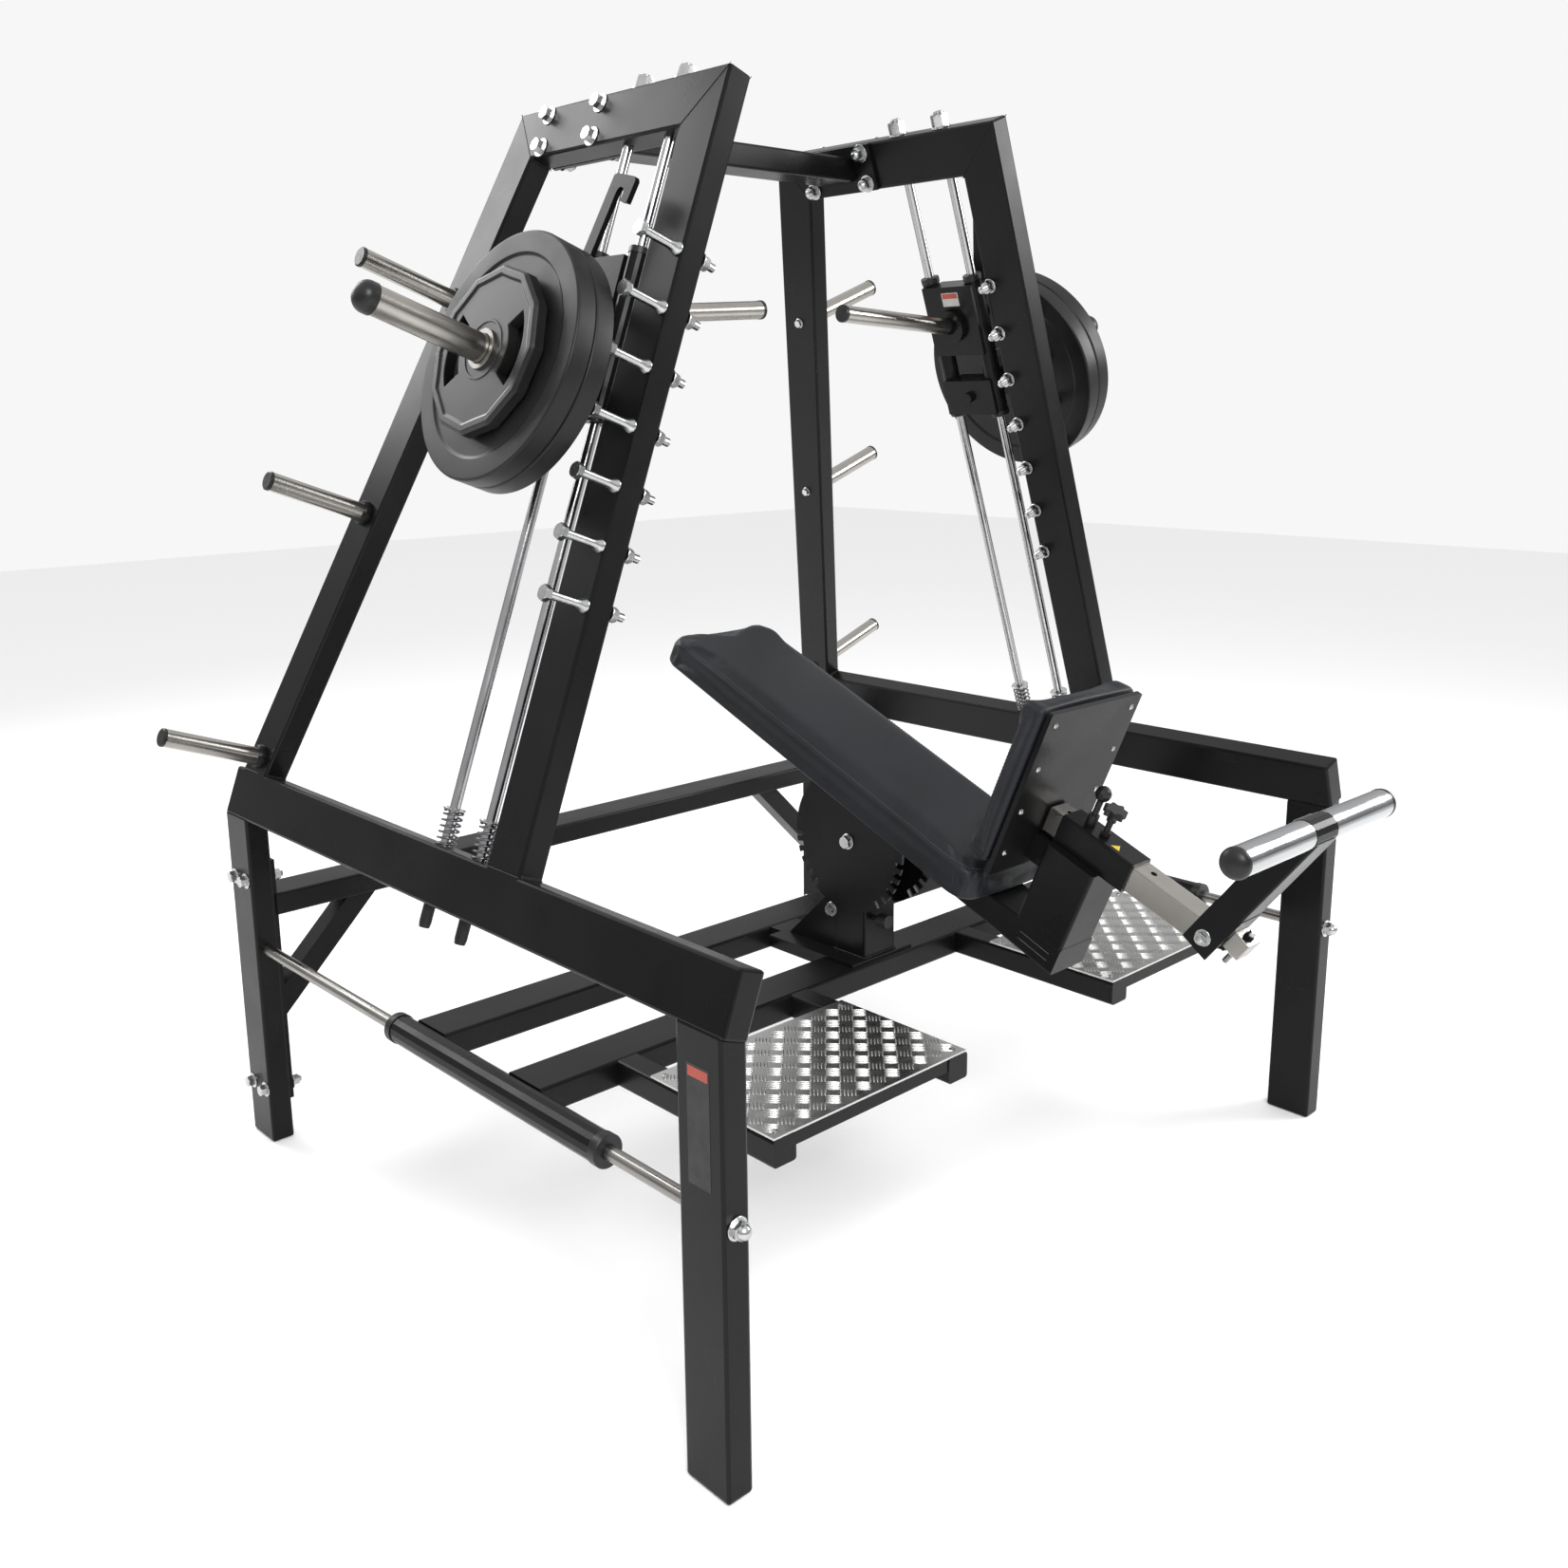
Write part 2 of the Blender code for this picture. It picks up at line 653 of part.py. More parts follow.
def sled():
    """Two beams between four bearing sleeves, a tie, and the two frames that carry the steps."""
    low, high = RAIL_Z - SLED_TUBE / 2, RAIL_Z + SLED_TUBE / 2
    reach = RAIL_X - RAIL_RADIUS - 0.006
    rear, front = SLED_REAR_BEAM, SLED_FRONT_BEAM
    item = block("sled", None, (-reach, rear, low), (reach, rear + SLED_BEAM, high), TUBE_CORNER, 0)
    beam = block("sled_front", None, (-reach, front, low), (reach, front + SLED_BEAM, high), TUBE_CORNER, 0)
    tie = block(
        "sled_tie", None, (-SLED_TIE / 2, front + SLED_BEAM - WELD, low + 0.002),
        (SLED_TIE / 2, rear + WELD, high - 0.002),
    )
    fuse(item, beam, tie)
    bores = []
    for sign in (-1, 1):
        x = sign * RAIL_X
        ends = (x, SLEEVE_FRONT, RAIL_Z), (x, SLEEVE_BACK, RAIL_Z)
        fuse(item, rod("rail_sleeve", None, *ends, SLEEVE_RADIUS))
        ends = (x, SLEEVE_FRONT - 0.1, RAIL_Z), (x, SLEEVE_BACK + 0.1, RAIL_Z)
        bores.append(rod("rail_bore", None, *ends, RAIL_RADIUS + RUNNING))
        for inner in (STEP_INSIDE, STEP_OUTSIDE - SLED_TUBE):
            edge = sorted((sign * inner, sign * (inner + SLED_TUBE)))
            arm = block(
                "step_arm", None, (edge[0], STEP_FRONT, low + 0.001), (edge[1], front + WELD, high - 0.001),
                TUBE_CORNER, 1,
            )
            fuse(item, arm)
        edge = sorted((sign * (STEP_INSIDE + WELD), sign * (STEP_OUTSIDE - WELD)))
        lip = block(
            "step_lip", None, (edge[0], STEP_FRONT + 0.002, high - STEP_LIP),
            (edge[1], STEP_FRONT + 0.030, high - 0.002),
        )
        fuse(item, lip)
    cut(item, *bores)
    return paint(item, BLACK)


def step_plate(side):
    """A sheet of five-bar tread plate on the step frame."""
    top = RAIL_Z + SLED_TUBE / 2
    edge = sorted((side.sign * (STEP_INSIDE + 0.002), side.sign * (STEP_OUTSIDE - 0.002)))
    item = block(
        side.name("step_plate"), None, (edge[0], STEP_FRONT + 0.001, top - 0.001 + GAP),
        (edge[1], STEP_PLATE_BACK, top + STEP_PLATE_THICK), 0.0,
    )
    return paint(item, ALUMINIUM)


def pedestal():
    """A foot plate on the sled with a box post and two side gussets, welded."""
    base = RAIL_Z + SLED_TUBE / 2 + GAP
    top = base + FOOT_PLATE_THICK
    item = block(
        "pedestal", None, (-FOOT_PLATE_X, FOOT_PLATE_FRONT, base), (FOOT_PLATE_X, FOOT_PLATE_BACK, top)
    )
    post = block(
        "post", None, (-POST_X, POST_FRONT, base + 0.001), (POST_X, POST_BACK, POST_TOP), TUBE_CORNER, 2
    )
    hollow = block(
        "post_hollow", None, (-POST_X + POST_WALL, POST_FRONT + POST_WALL, top + 0.004),
        (POST_X - POST_WALL, POST_BACK - POST_WALL, POST_TOP + 0.1),
    )
    fuse(item, post)
    loop = [
        (GUSSET_BACK, base + 0.002),
        (POST_BACK - WELD, base + 0.002),
        (POST_BACK - WELD, GUSSET_TOP + 0.020),
        (POST_BACK + 0.030, GUSSET_TOP),
    ]
    for sign in (-1, 1):
        middle = (sign * (POST_X - POST_WALL / 2 - 0.001), 0.0, 0.0)
        fuse(item, outline("gusset", None, [loop], POST_WALL, middle, YZ_PLANE))
    ends = (-0.2, PIVOT_Y, PIVOT_Z), (0.2, PIVOT_Y, PIVOT_Z)
    bolt_hole = rod("pivot_hole", None, *ends, PIVOT_RADIUS + RUNNING)
    cut(item, hollow, bolt_hole)
    return paint(item, BLACK)


def lock_pin():
    """The spring pin that locks the sector plates, with its knob towards the front."""
    z = PIVOT_Z - SECTOR_RADIUS - PIN_RADIUS - 0.004
    y = POST_FRONT
    item = rod("bench_lock_pin", None, (-0.022, y - 0.030, z), (-0.022, y - GAP, z), PIN_RADIUS, sides=16)
    knob = rod("lock_knob", None, (-0.022, y - 0.045, z), (-0.022, y - 0.022, z), PIN_KNOB)
    return paint(fuse(item, knob), PLASTIC)


def on_sector(radius, turn):
    return (radius * math.cos(turn), radius * math.sin(turn))


def sector_loop():
    """A round-bottomed plate with two runs of open slots on its rim, up to the bench beam."""
    half_slot = SECTOR_SLOT_WIDE / 2 / SECTOR_RADIUS
    slots = [first + SECTOR_STEP * i for first in SECTOR_FIRST_SLOTS for i in range(SECTOR_SLOTS)]
    slots = [slot + 2 * math.pi if slot < SECTOR_START - math.pi / 2 else slot for slot in slots]
    rim = []
    for i in range(SECTOR_STEPS + 1):
        mark = SECTOR_START + (SECTOR_END - SECTOR_START) * i / SECTOR_STEPS
        if all(abs(mark - slot) >= half_slot * 1.6 for slot in slots):
            rim.append((mark, [on_sector(SECTOR_RADIUS, mark)]))
    for slot in slots:
        a, b = slot - half_slot, slot + half_slot
        deep = SECTOR_RADIUS - SECTOR_SLOT_DEEP
        rim.append((slot, [
            on_sector(SECTOR_RADIUS, a), on_sector(deep, a), on_sector(deep, b), on_sector(SECTOR_RADIUS, b),
        ]))
    rim.sort(key=lambda entry: entry[0])
    top = BENCH_BEAM_N + SECTOR_LAP
    return [(-0.125, top)] + [point for _, points in rim for point in points] + [(0.135, top)]


def bench_frame():
    """The beam with its two sector plates, the pivot bolt, the end box, sleeve and seat plate."""
    low, high = BENCH_BEAM_N, BENCH_BEAM_N + BENCH_BEAM_DEEP
    x = BENCH_BEAM_X
    item = block("bench_frame", BENCH, (-x, BENCH_FRONT, low), (x, BENCH_BACK, high), TUBE_CORNER, 1)
    for sign in (-1, 1):
        middle = (sign * (POST_X + RUNNING + SECTOR_THICK / 2), 0.0, 0.0)
        fuse(item, outline("sector", BENCH, [sector_loop()], SECTOR_THICK, middle, YZ_PLANE))
    reach = POST_X + SECTOR_THICK + 0.012
    fuse(item, rod("pivot_bolt", BENCH, (-reach, 0, 0), (reach, 0, 0), PIVOT_RADIUS, sides=24))
    for sign in (-1, 1):
        start, end = sign * (reach - 0.013), sign * (reach - 0.001)
        fuse(item, rod("pivot_head", BENCH, (start, 0, 0), (end, 0, 0), 0.013, sides=6))
    box = block(
        "end_box", BENCH, (-x + 0.0005, BENCH_FRONT + 0.0005, low + 0.003),
        (x - 0.0005, BENCH_FRONT + BOX_DEEP, FOOT_SLEEVE_N - SLEEVE_HALF + WELD), TUBE_CORNER, 2,
    )
    half = SLEEVE_HALF
    sleeve = block(
        "foot_sleeve", BENCH, (-half, FOOT_SLEEVE_FRONT, FOOT_SLEEVE_N - half),
        (half, BENCH_FRONT + BOX_DEEP + 0.002, FOOT_SLEEVE_N + half), TUBE_CORNER, 1,
    )
    stem = block(
        "seat_stem", BENCH, (-0.030, BENCH_FRONT + BOX_DEEP - WELD, FOOT_SLEEVE_N - SLEEVE_HALF - 0.060),
        (0.030, SEAT_FACE - 0.004, FOOT_SLEEVE_N - SLEEVE_HALF - 0.006),
    )
    plate = block(
        "seat_plate", BENCH, (-SEAT_X, SEAT_FACE - SEAT_PLATE_THICK, SEAT_LOW),
        (SEAT_X, SEAT_FACE, SEAT_HIGH), 0.004, 1,
    )
    fuse(item, box, sleeve, stem, plate)
    bore = FOOT_TUBE_HALF + RUNNING
    tunnel = block(
        "foot_tunnel", BENCH, (-bore, FOOT_SLEEVE_FRONT - 0.1, FOOT_SLEEVE_N - bore),
        (bore, SEAT_FACE - SEAT_PLATE_THICK - 0.001, FOOT_SLEEVE_N + bore),
    )
    cut(item, tunnel)
    for l in (POP_L, STAR_L):
        ends = (0, l, FOOT_SLEEVE_N), (0, l, FOOT_SLEEVE_N + 0.1)
        cut(item, rod("screw_hole", BENCH, *ends, SCREW_RADIUS + GAP))
    return paint(item, BLACK)


def cushion(name, low, high):
    item = block(name, BENCH, low, high, PAD_CORNER)
    return paint(item, VINYL)


def back_pad():
    base = BENCH_BEAM_N + BENCH_BEAM_DEEP + GAP
    return cushion("back_pad", (-PAD_X, PAD_FRONT, base), (PAD_X, PAD_BACK, base + PAD_THICK))


def seat_pad():
    return cushion(
        "seat_pad", (-SEAT_X - 0.010, SEAT_FACE + GAP, SEAT_LOW + 0.010),
        (SEAT_X + 0.010, SEAT_FACE + SEAT_PAD_THICK, SEAT_HIGH + 0.005),
    )


def pop_pin():
    """A ball-ended spring pin through the sleeve's top."""
    top = FOOT_SLEEVE_N + SLEEVE_HALF
    ends = (0, POP_L, FOOT_SLEEVE_N + FOOT_TUBE_HALF + 0.001), (0, POP_L, top + 0.060)
    item = rod("foot_pop_pin", BENCH, *ends, SCREW_RADIUS)
    ball = bmesh.new()
    bmesh.ops.create_uvsphere(ball, u_segments=12, v_segments=8, radius=POP_BALL)
    mesh = bpy.data.meshes.new("pop_ball")
    ball.to_mesh(mesh)
    ball.free()
    mesh.shade_smooth()
    collar = rod("pop_collar", BENCH, (0, POP_L, top + 0.001), (0, POP_L, top + 0.022), 0.010)
    fuse(item, place("pop_ball", mesh, BENCH, (0, POP_L, top + 0.066), (0, 0, 0)), collar)
    return paint(item, PLASTIC)


def star_knob():
    """A lobed clamp knob on a screw that bears on the foot tube."""
    top = FOOT_SLEEVE_N + SLEEVE_HALF
    ends = (0, STAR_L, FOOT_SLEEVE_N + FOOT_TUBE_HALF + 0.001), (0, STAR_L, top + 0.046)
    item = rod("star_knob", BENCH, *ends, SCREW_RADIUS)
    lobes, points = 7, 35
    loop = []
    for i in range(points):
        turn = 2 * math.pi * i / points
        radius = 0.019 + 0.003 * math.cos(lobes * turn)
        loop.append((radius * math.cos(turn), radius * math.sin(turn)))
    head = outline("star_head", BENCH, [loop], 0.014, (0, STAR_L, top + 0.050), (0, 0, 0))
    hub = rod("star_hub", BENCH, (0, STAR_L, top + 0.030), (0, STAR_L, top + 0.045), 0.009)
    nut = rod("star_nut", BENCH, (0, STAR_L, top + 0.001), (0, STAR_L, top + 0.009), 0.010, sides=6)
    return paint(fuse(item, head, hub, nut), PLASTIC)


def foot_tube():
    """The square stainless tube that slides in the sleeve and carries the foot arm."""
    half = FOOT_TUBE_HALF
    item = block(
        "foot_tube", BENCH, (-half, ARM_L - FOOT_TUBE_NOSE, FOOT_SLEEVE_N - half),
        (half, FOOT_TUBE_BACK, FOOT_SLEEVE_N + half), 0.003, 1,
    )
    ends = (-0.1, ARM_L, FOOT_SLEEVE_N), (0.1, ARM_L, FOOT_SLEEVE_N)
    hole = rod("arm_bolt_hole", BENCH, *ends, SCREW_RADIUS + RUNNING)
    cut(item, hole)
    for shift in FOOT_SETTINGS:
        l = POP_L + shift
        ends = (0, l, FOOT_SLEEVE_N + half - 0.012), (0, l, FOOT_SLEEVE_N + half + 0.05)
        cut(item, rod("setting_hole", BENCH, *ends, SCREW_RADIUS, sides=16))
    return paint(item, STEEL)


def foot_arm():
    """Two cheeks on one bolt, a bar up to the foot bar, and a lug with its stop bolt."""
    pivot = guide("foot_arm_pivot", (0.0, ARM_L, FOOT_SLEEVE_N), (ARM_LEAN, 0.0, 0.0))
    pivot.parent = BENCH
    inner = FOOT_TUBE_HALF + ARM_GAP
    outer = inner + ARM_THICK / 2
    wide = ARM_WIDE / 2
    item = block("foot_arm", pivot, (-outer, -wide, 0.052), (outer, wide, ARM_LONG + 0.004), 0.004, 2)
    for sign in (-1, 1):
        edge = sorted((sign * inner, sign * outer))
        cheek = block("cheek", pivot, (edge[0], -wide, -0.028), (edge[1], wide, 0.070))
        fuse(item, cheek)
    reach = outer + 0.012
    fuse(item, rod("arm_bolt", pivot, (-reach, 0, 0), (reach, 0, 0), 0.006, sides=16))
    for sign in (-1, 1):
        start, end = sign * (outer - 0.001), sign * (outer + 0.008)
        fuse(item, rod("arm_bolt_head", pivot, (start, 0, 0), (end, 0, 0), 0.011, sides=6))
    lug = block(
        "stop_lug", pivot, (-STOP_LUG / 2, -wide - STOP_LUG_LONG, STOP_LUG_BASE),
        (STOP_LUG / 2, -wide, STOP_LUG_BASE + STOP_LUG),
    )
    bridge = block("lug_bridge", pivot, (-outer, -wide - 0.001, 0.034), (outer, -wide + 0.0015, 0.075))
    stop = rod("stop_bolt", pivot, (0, -wide - 0.018, -0.020), (0, -wide - 0.018, 0.060), 0.005, sides=16)
    head = rod("stop_head", pivot, (0, -wide - 0.018, 0.045), (0, -wide - 0.018, 0.053), 0.009, sides=6)
    bar = rod(
        "foot_bar", pivot, (-FOOT_BAR_HALF + WELD, 0, ARM_LONG), (FOOT_BAR_HALF - WELD, 0, ARM_LONG),
        FOOT_BAR_RADIUS,
    )
    ends = (-FOOT_BAND / 2, 0, ARM_LONG), (FOOT_BAND / 2, 0, ARM_LONG)
    band = rod("foot_band", pivot, *ends, ROLLER_RADIUS + BAND_PROUD)
    fuse(item, bridge, lug, stop, head, bar, band)
    for sign in (-1, 1):
        start, end = sign * (FOOT_BAR_HALF - 0.010), sign * FOOT_BAR_HALF
        ends = (start, 0, ARM_LONG), (end, 0, ARM_LONG)
        fuse(item, rod("bar_cap", pivot, *ends, ROLLER_RADIUS, ROLLER_RADIUS - 0.004))
    paint(item, BLACK)
    return pivot


def foot_roller(side, pivot):
    """A chrome tube that turns freely on the foot bar."""
    near = FOOT_BAND / 2 + GAP
    far = FOOT_BAR_HALF - 0.010 - GAP
    inner = FOOT_BAR_RADIUS + RUNNING
    middle = side.sign * (near + far) / 2
    half = (far - near) / 2
    profile = [(ROLLER_RADIUS, half), (ROLLER_RADIUS, -half), (inner, -half), (inner, half)]
    item = turned(
        side.name("foot_roller"), pivot, profile, (middle, 0, ARM_LONG), (0, math.pi / 2, 0), RING_STEPS
    )
    return paint(item, CHROME)


def carriage(side):
    """Two bearing tubes on the rods, joined by two bridges; the lower carries the loading sleeve."""
    low, high = CARRIAGE_LOW, CARRIAGE_HIGH
    ends = (MIDDLE_T, ROD_BACK, low), (MIDDLE_T, ROD_BACK, high)
    item = side.rod(side.name("carriage"), *ends, BEARING_RADIUS)
    ends = (MIDDLE_T, ROD_FRONT, low), (MIDDLE_T, ROD_FRONT, high)
    fuse(item, side.rod("bearing_tube", *ends, BEARING_RADIUS))
    front, back = ROD_FRONT + BEARING_RADIUS - WELD, ROD_BACK - BEARING_RADIUS + WELD
    for bottom, top in ((low + 0.008, LOWER_BRIDGE_TOP), (UPPER_BRIDGE_LOW, high - 0.015)):
        bridge = side.block("bridge", (BRIDGE_OUTER, front, bottom), (BRIDGE_INNER, back, top))
        face = (
            (BRIDGE_INNER - 0.001, ROD_FRONT - 0.012, bottom),
            (BRIDGE_INNER + FACE_PLATE, ROD_BACK + 0.006, top),
        )
        fuse(item, bridge, side.block("face_plate", *face))
    u, v = LOAD_U, LOAD_V
    inner_face = BRIDGE_INNER + FACE_PLATE
    fuse(
        item,
        side.rod("load_sleeve", (BRIDGE_OUTER + 0.006, u, v), (-LOAD_REACH, u, v), LOAD_RADIUS, sides=24),
        side.rod("load_flange", (PLATE_T + GAP + 0.010, u, v), (PLATE_T + GAP, u, v), LOAD_FLANGE, sides=20),
        side.rod("load_bolt", (inner_face - 0.002, u, v), (inner_face + 0.011, u, v), 0.012, sides=6),
    )
    bores = [
        side.rod("bearing_bore", (MIDDLE_T, u, low - 0.1), (MIDDLE_T, u, high + 0.1), ROD_RADIUS + RUNNING)
        for u in (ROD_BACK, ROD_FRONT)
    ]
    ends = (-0.1, HANDLE_U, HANDLE_V), (0.1, HANDLE_U, HANDLE_V)
    cut(item, *bores, side.rod("shaft_bore", *ends, HANDLE_SHAFT + RUNNING))
    return paint(item, BLACK)


def hook_loop():
    """A flat bar from the shaft up to a mouth that opens towards the shaft, on its front side."""
    wide, long, mouth, lip = HOOK_WIDE / 2, HOOK_LONG, HOOK_MOUTH, HOOK_LIP
    front = -wide - mouth - HOOK_WIDE * 0.8
    loop = [(wide, 0.0), (wide, long + 0.004), (wide - 0.006, long + 0.010), (front + 0.006, long + 0.010)]
    loop += [(front, long + 0.004), (front, long - lip), (-wide - mouth, long - lip)]
    arc = 6
    centre = (-wide - mouth / 2, long - 0.012 - mouth / 2)
    for i in range(arc + 1):
        turn = math.pi - math.pi * i / arc
        loop.append((centre[0] + mouth / 2 * math.cos(turn), centre[1] + mouth / 2 * math.sin(turn)))
    loop.append((-wide, 0.0))
    tilt, lift = math.sin(HOOK_LEAN), math.cos(HOOK_LEAN)
    return [(x * lift - y * tilt, x * tilt + y * lift) for x, y in loop]


def handle(side):
    """A grip tube inside, a shaft through the carriage, and the safety hook outside, all one piece."""
    axis = guide(
        "handle_axis_" + side.word, side.at(0.0, HANDLE_U, HANDLE_V), (0.0, 0.0, 0.0)
    )
    axis.parent = side.plane
    start = BRIDGE_INNER + FACE_PLATE + 0.001
    face = start + 0.012
    item = rod(
        side.name("handle"), axis, side.at(HOOK_T - HOOK_THICK, 0, 0), side.at(face - 0.002, 0, 0),
        HANDLE_SHAFT,
    )
    flange = rod("handle_flange", axis, side.at(start, 0, 0), side.at(face, 0, 0), HANDLE_FLANGE, sides=32)
    hook = outline(
        "hook", axis, [hook_loop()], HOOK_THICK, side.at(HOOK_T - HOOK_THICK / 2 + 0.001, 0, 0), YZ_PLANE
    )
    ends = side.at(HOOK_T - HOOK_THICK - 0.002, 0, 0), side.at(HOOK_T + 0.008, 0, 0)
    boss = rod("hook_boss", axis, *ends, 0.022)
    tip = side.at(face + HANDLE_LONG * math.cos(HANDLE_RISE), 0, HANDLE_LONG * math.sin(HANDLE_RISE))
    root = start + HANDLE_RADIUS * math.sin(HANDLE_RISE)
    grip = rod("grip", axis, side.at(root, 0, 0), tip, HANDLE_RADIUS)
    fuse(item, flange, hook, boss, grip)
    return paint(item, BLACK)


def disc_profile(outer, inner, thick):
    """The section of a weight disc from its bore to its softened rim."""
    half = thick / 2
    return [
        (outer - 0.004, half), (outer, half - 0.004), (outer, -half + 0.004), (outer - 0.004, -half),
        (inner, -half), (inner, half),
    ]


def weight_disc(side, index):
    """A rubber-coated disc, loose on the sleeve."""
    t = PLATE_T - GAP - (index - 1) * (PLATE_THICK + GAP) - PLATE_THICK / 2
    profile = disc_profile(PLATE_RADIUS, LOAD_RADIUS + RUNNING, PLATE_THICK)
    item = turned(
        side.name(f"weight_disc_{index}"), side.plane, profile, side.at(t, LOAD_U, LOAD_V),
        (0, math.pi / 2, 0), RING_STEPS,
    )
    return paint(item, RUBBER)


def grip_plate(side):
    """The small outer plate: twelve straight sides and two long grip slots."""
    t = PLATE_T - 2 * (PLATE_THICK + GAP) - GAP - GRIP_THICK / 2
    sides = 12
    corners = [2 * math.pi * (i + 0.5) / sides for i in range(sides)]
    loop = [(GRIP_RADIUS * math.cos(turn), GRIP_RADIUS * math.sin(turn)) for turn in corners]
    item = outline(
        side.name("grip_plate"), side.plane, [loop], GRIP_THICK, side.at(t, LOAD_U, LOAD_V), YZ_PLANE
    )
    soften(item, 0.004, 1)
    reach = GRIP_THICK
    ends = (t - reach, LOAD_U, LOAD_V), (t + reach, LOAD_U, LOAD_V)
    bore = side.rod("grip_bore", *ends, LOAD_RADIUS + RUNNING)
    cut(item, bore)
    for first in (0.0, math.pi):
        turns = [first + GRIP_SLOT_HALF * (2 * k / 7 - 1) for k in range(8)]
        slot = [(GRIP_SLOT_OUTER * math.cos(turn), GRIP_SLOT_OUTER * math.sin(turn)) for turn in turns]
        slot += [
            (GRIP_SLOT_INNER * math.cos(turn), GRIP_SLOT_INNER * math.sin(turn)) for turn in reversed(turns)
        ]
        tool = outline("grip_slot", side.plane, [slot], 2 * reach, side.at(t, LOAD_U, LOAD_V), YZ_PLANE)
        cut(item, tool)
    return paint(item, RUBBER)


SIDES = (Side("left", -1), Side("right", 1))
BENCH = guide("bench_pivot", (0.0, PIVOT_Y, PIVOT_Z), (INCLINE, 0.0, 0.0))

for side in SIDES:
    side_frame(side)
    for index, v in enumerate(peg_heights(), 1):
        safety_peg(side, index, v)
    for index, v in enumerate(HORN_HEIGHTS, 1):
        storage_horn(side, index, v)
    for word, u in (("rear", ROD_BACK), ("front", ROD_FRONT)):
        guide_rod(side, word, u)
        bumper_spring(side, word, u)
    rail(side)
    step_plate(side)
    carriage(side)
    handle(side)
    weight_disc(side, 1)
    weight_disc(side, 2)
    grip_plate(side)

top_crossbar()
rear_cross_frame()
sled()
pedestal()
lock_pin()
bench_frame()
back_pad()
seat_pad()
pop_pin()
star_knob()
foot_tube()
arm_pivot = foot_arm()
for side in SIDES:
    foot_roller(side, arm_pivot)
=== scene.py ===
import json
import math

import bmesh
import bpy
from mathutils import Matrix, Vector
from mathutils.bvhtree import BVHTree


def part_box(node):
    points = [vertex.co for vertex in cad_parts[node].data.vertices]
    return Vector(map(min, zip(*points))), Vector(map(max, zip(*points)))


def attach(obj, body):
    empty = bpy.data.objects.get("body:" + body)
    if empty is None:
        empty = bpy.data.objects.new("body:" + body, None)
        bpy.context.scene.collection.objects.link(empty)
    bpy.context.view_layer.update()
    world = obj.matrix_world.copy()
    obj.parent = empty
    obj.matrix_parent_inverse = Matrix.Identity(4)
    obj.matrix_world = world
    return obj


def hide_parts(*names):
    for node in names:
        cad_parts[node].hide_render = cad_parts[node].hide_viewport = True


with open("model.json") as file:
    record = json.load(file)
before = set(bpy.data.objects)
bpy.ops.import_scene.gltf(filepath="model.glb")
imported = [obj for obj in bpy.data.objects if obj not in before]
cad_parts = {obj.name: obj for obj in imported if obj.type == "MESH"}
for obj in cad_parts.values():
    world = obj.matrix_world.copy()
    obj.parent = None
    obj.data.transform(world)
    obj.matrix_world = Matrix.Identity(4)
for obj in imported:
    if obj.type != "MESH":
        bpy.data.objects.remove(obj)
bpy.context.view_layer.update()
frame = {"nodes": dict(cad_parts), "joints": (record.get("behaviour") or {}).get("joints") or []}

# ---------------------------------------------------------------- studio
# A pale floor and soft white light all round, as for a catalogue view of black machinery.
# The camera stands at head height off the machine's front left corner, looking slightly down.
CAMERA_PLACE = Vector((-2.151, -2.068, 1.622))
CAMERA_YAW = math.radians(42.87)
CAMERA_PITCH = math.radians(12.25)
CAMERA_ROLL = math.radians(-0.58)
LENS = 33.97

ahead = Vector((math.sin(CAMERA_YAW) * math.cos(CAMERA_PITCH),
                math.cos(CAMERA_YAW) * math.cos(CAMERA_PITCH), -math.sin(CAMERA_PITCH)))
level = Vector((math.cos(CAMERA_YAW), -math.sin(CAMERA_YAW), 0.0))
rise = level.cross(ahead)
right = level * math.cos(CAMERA_ROLL) + rise * math.sin(CAMERA_ROLL)
top = rise * math.cos(CAMERA_ROLL) - level * math.sin(CAMERA_ROLL)
camera = bpy.data.objects.new("camera", bpy.data.cameras.new("camera"))
camera.data.lens = LENS
camera.data.sensor_width = 36.0
camera.data.shift_x = 0.0080
camera.data.shift_y = -0.0414
camera.matrix_world = Matrix.Translation(CAMERA_PLACE) @ Matrix((right, top, -ahead)).transposed().to_4x4()
bpy.context.scene.collection.objects.link(camera)
bpy.context.scene.camera = camera

world = bpy.data.worlds.new("studio")
world.use_nodes = True
studio_nodes, studio_links = world.node_tree.nodes, world.node_tree.links
direction = studio_nodes.new("ShaderNodeTexCoord")
split = studio_nodes.new("ShaderNodeSeparateXYZ")
heights = studio_nodes.new("ShaderNodeValToRGB")
heights.color_ramp.elements[0].position = 0.45
heights.color_ramp.elements[0].color = (0.20, 0.20, 0.21, 1.0)
heights.color_ramp.elements[1].position = 0.80
heights.color_ramp.elements[1].color = (1.0, 1.0, 1.0, 1.0)
shift_up = studio_nodes.new("ShaderNodeMapRange")
shift_up.inputs["From Min"].default_value = -1.0
studio_links.new(direction.outputs["Generated"], split.inputs["Vector"])
studio_links.new(split.outputs["Z"], shift_up.inputs["Value"])
studio_links.new(shift_up.outputs["Result"], heights.inputs["Fac"])
lit = studio_nodes["Background"]
studio_links.new(heights.outputs["Color"], lit.inputs["Color"])
lit.inputs["Strength"].default_value = 0.95
backdrop = studio_nodes.new("ShaderNodeBackground")
backdrop.inputs["Color"].default_value = (0.93, 0.93, 0.93, 1.0)
seen = studio_nodes.new("ShaderNodeLightPath")
either = studio_nodes.new("ShaderNodeMixShader")
studio_links.new(seen.outputs["Is Camera Ray"], either.inputs["Fac"])
studio_links.new(lit.outputs["Background"], either.inputs[1])
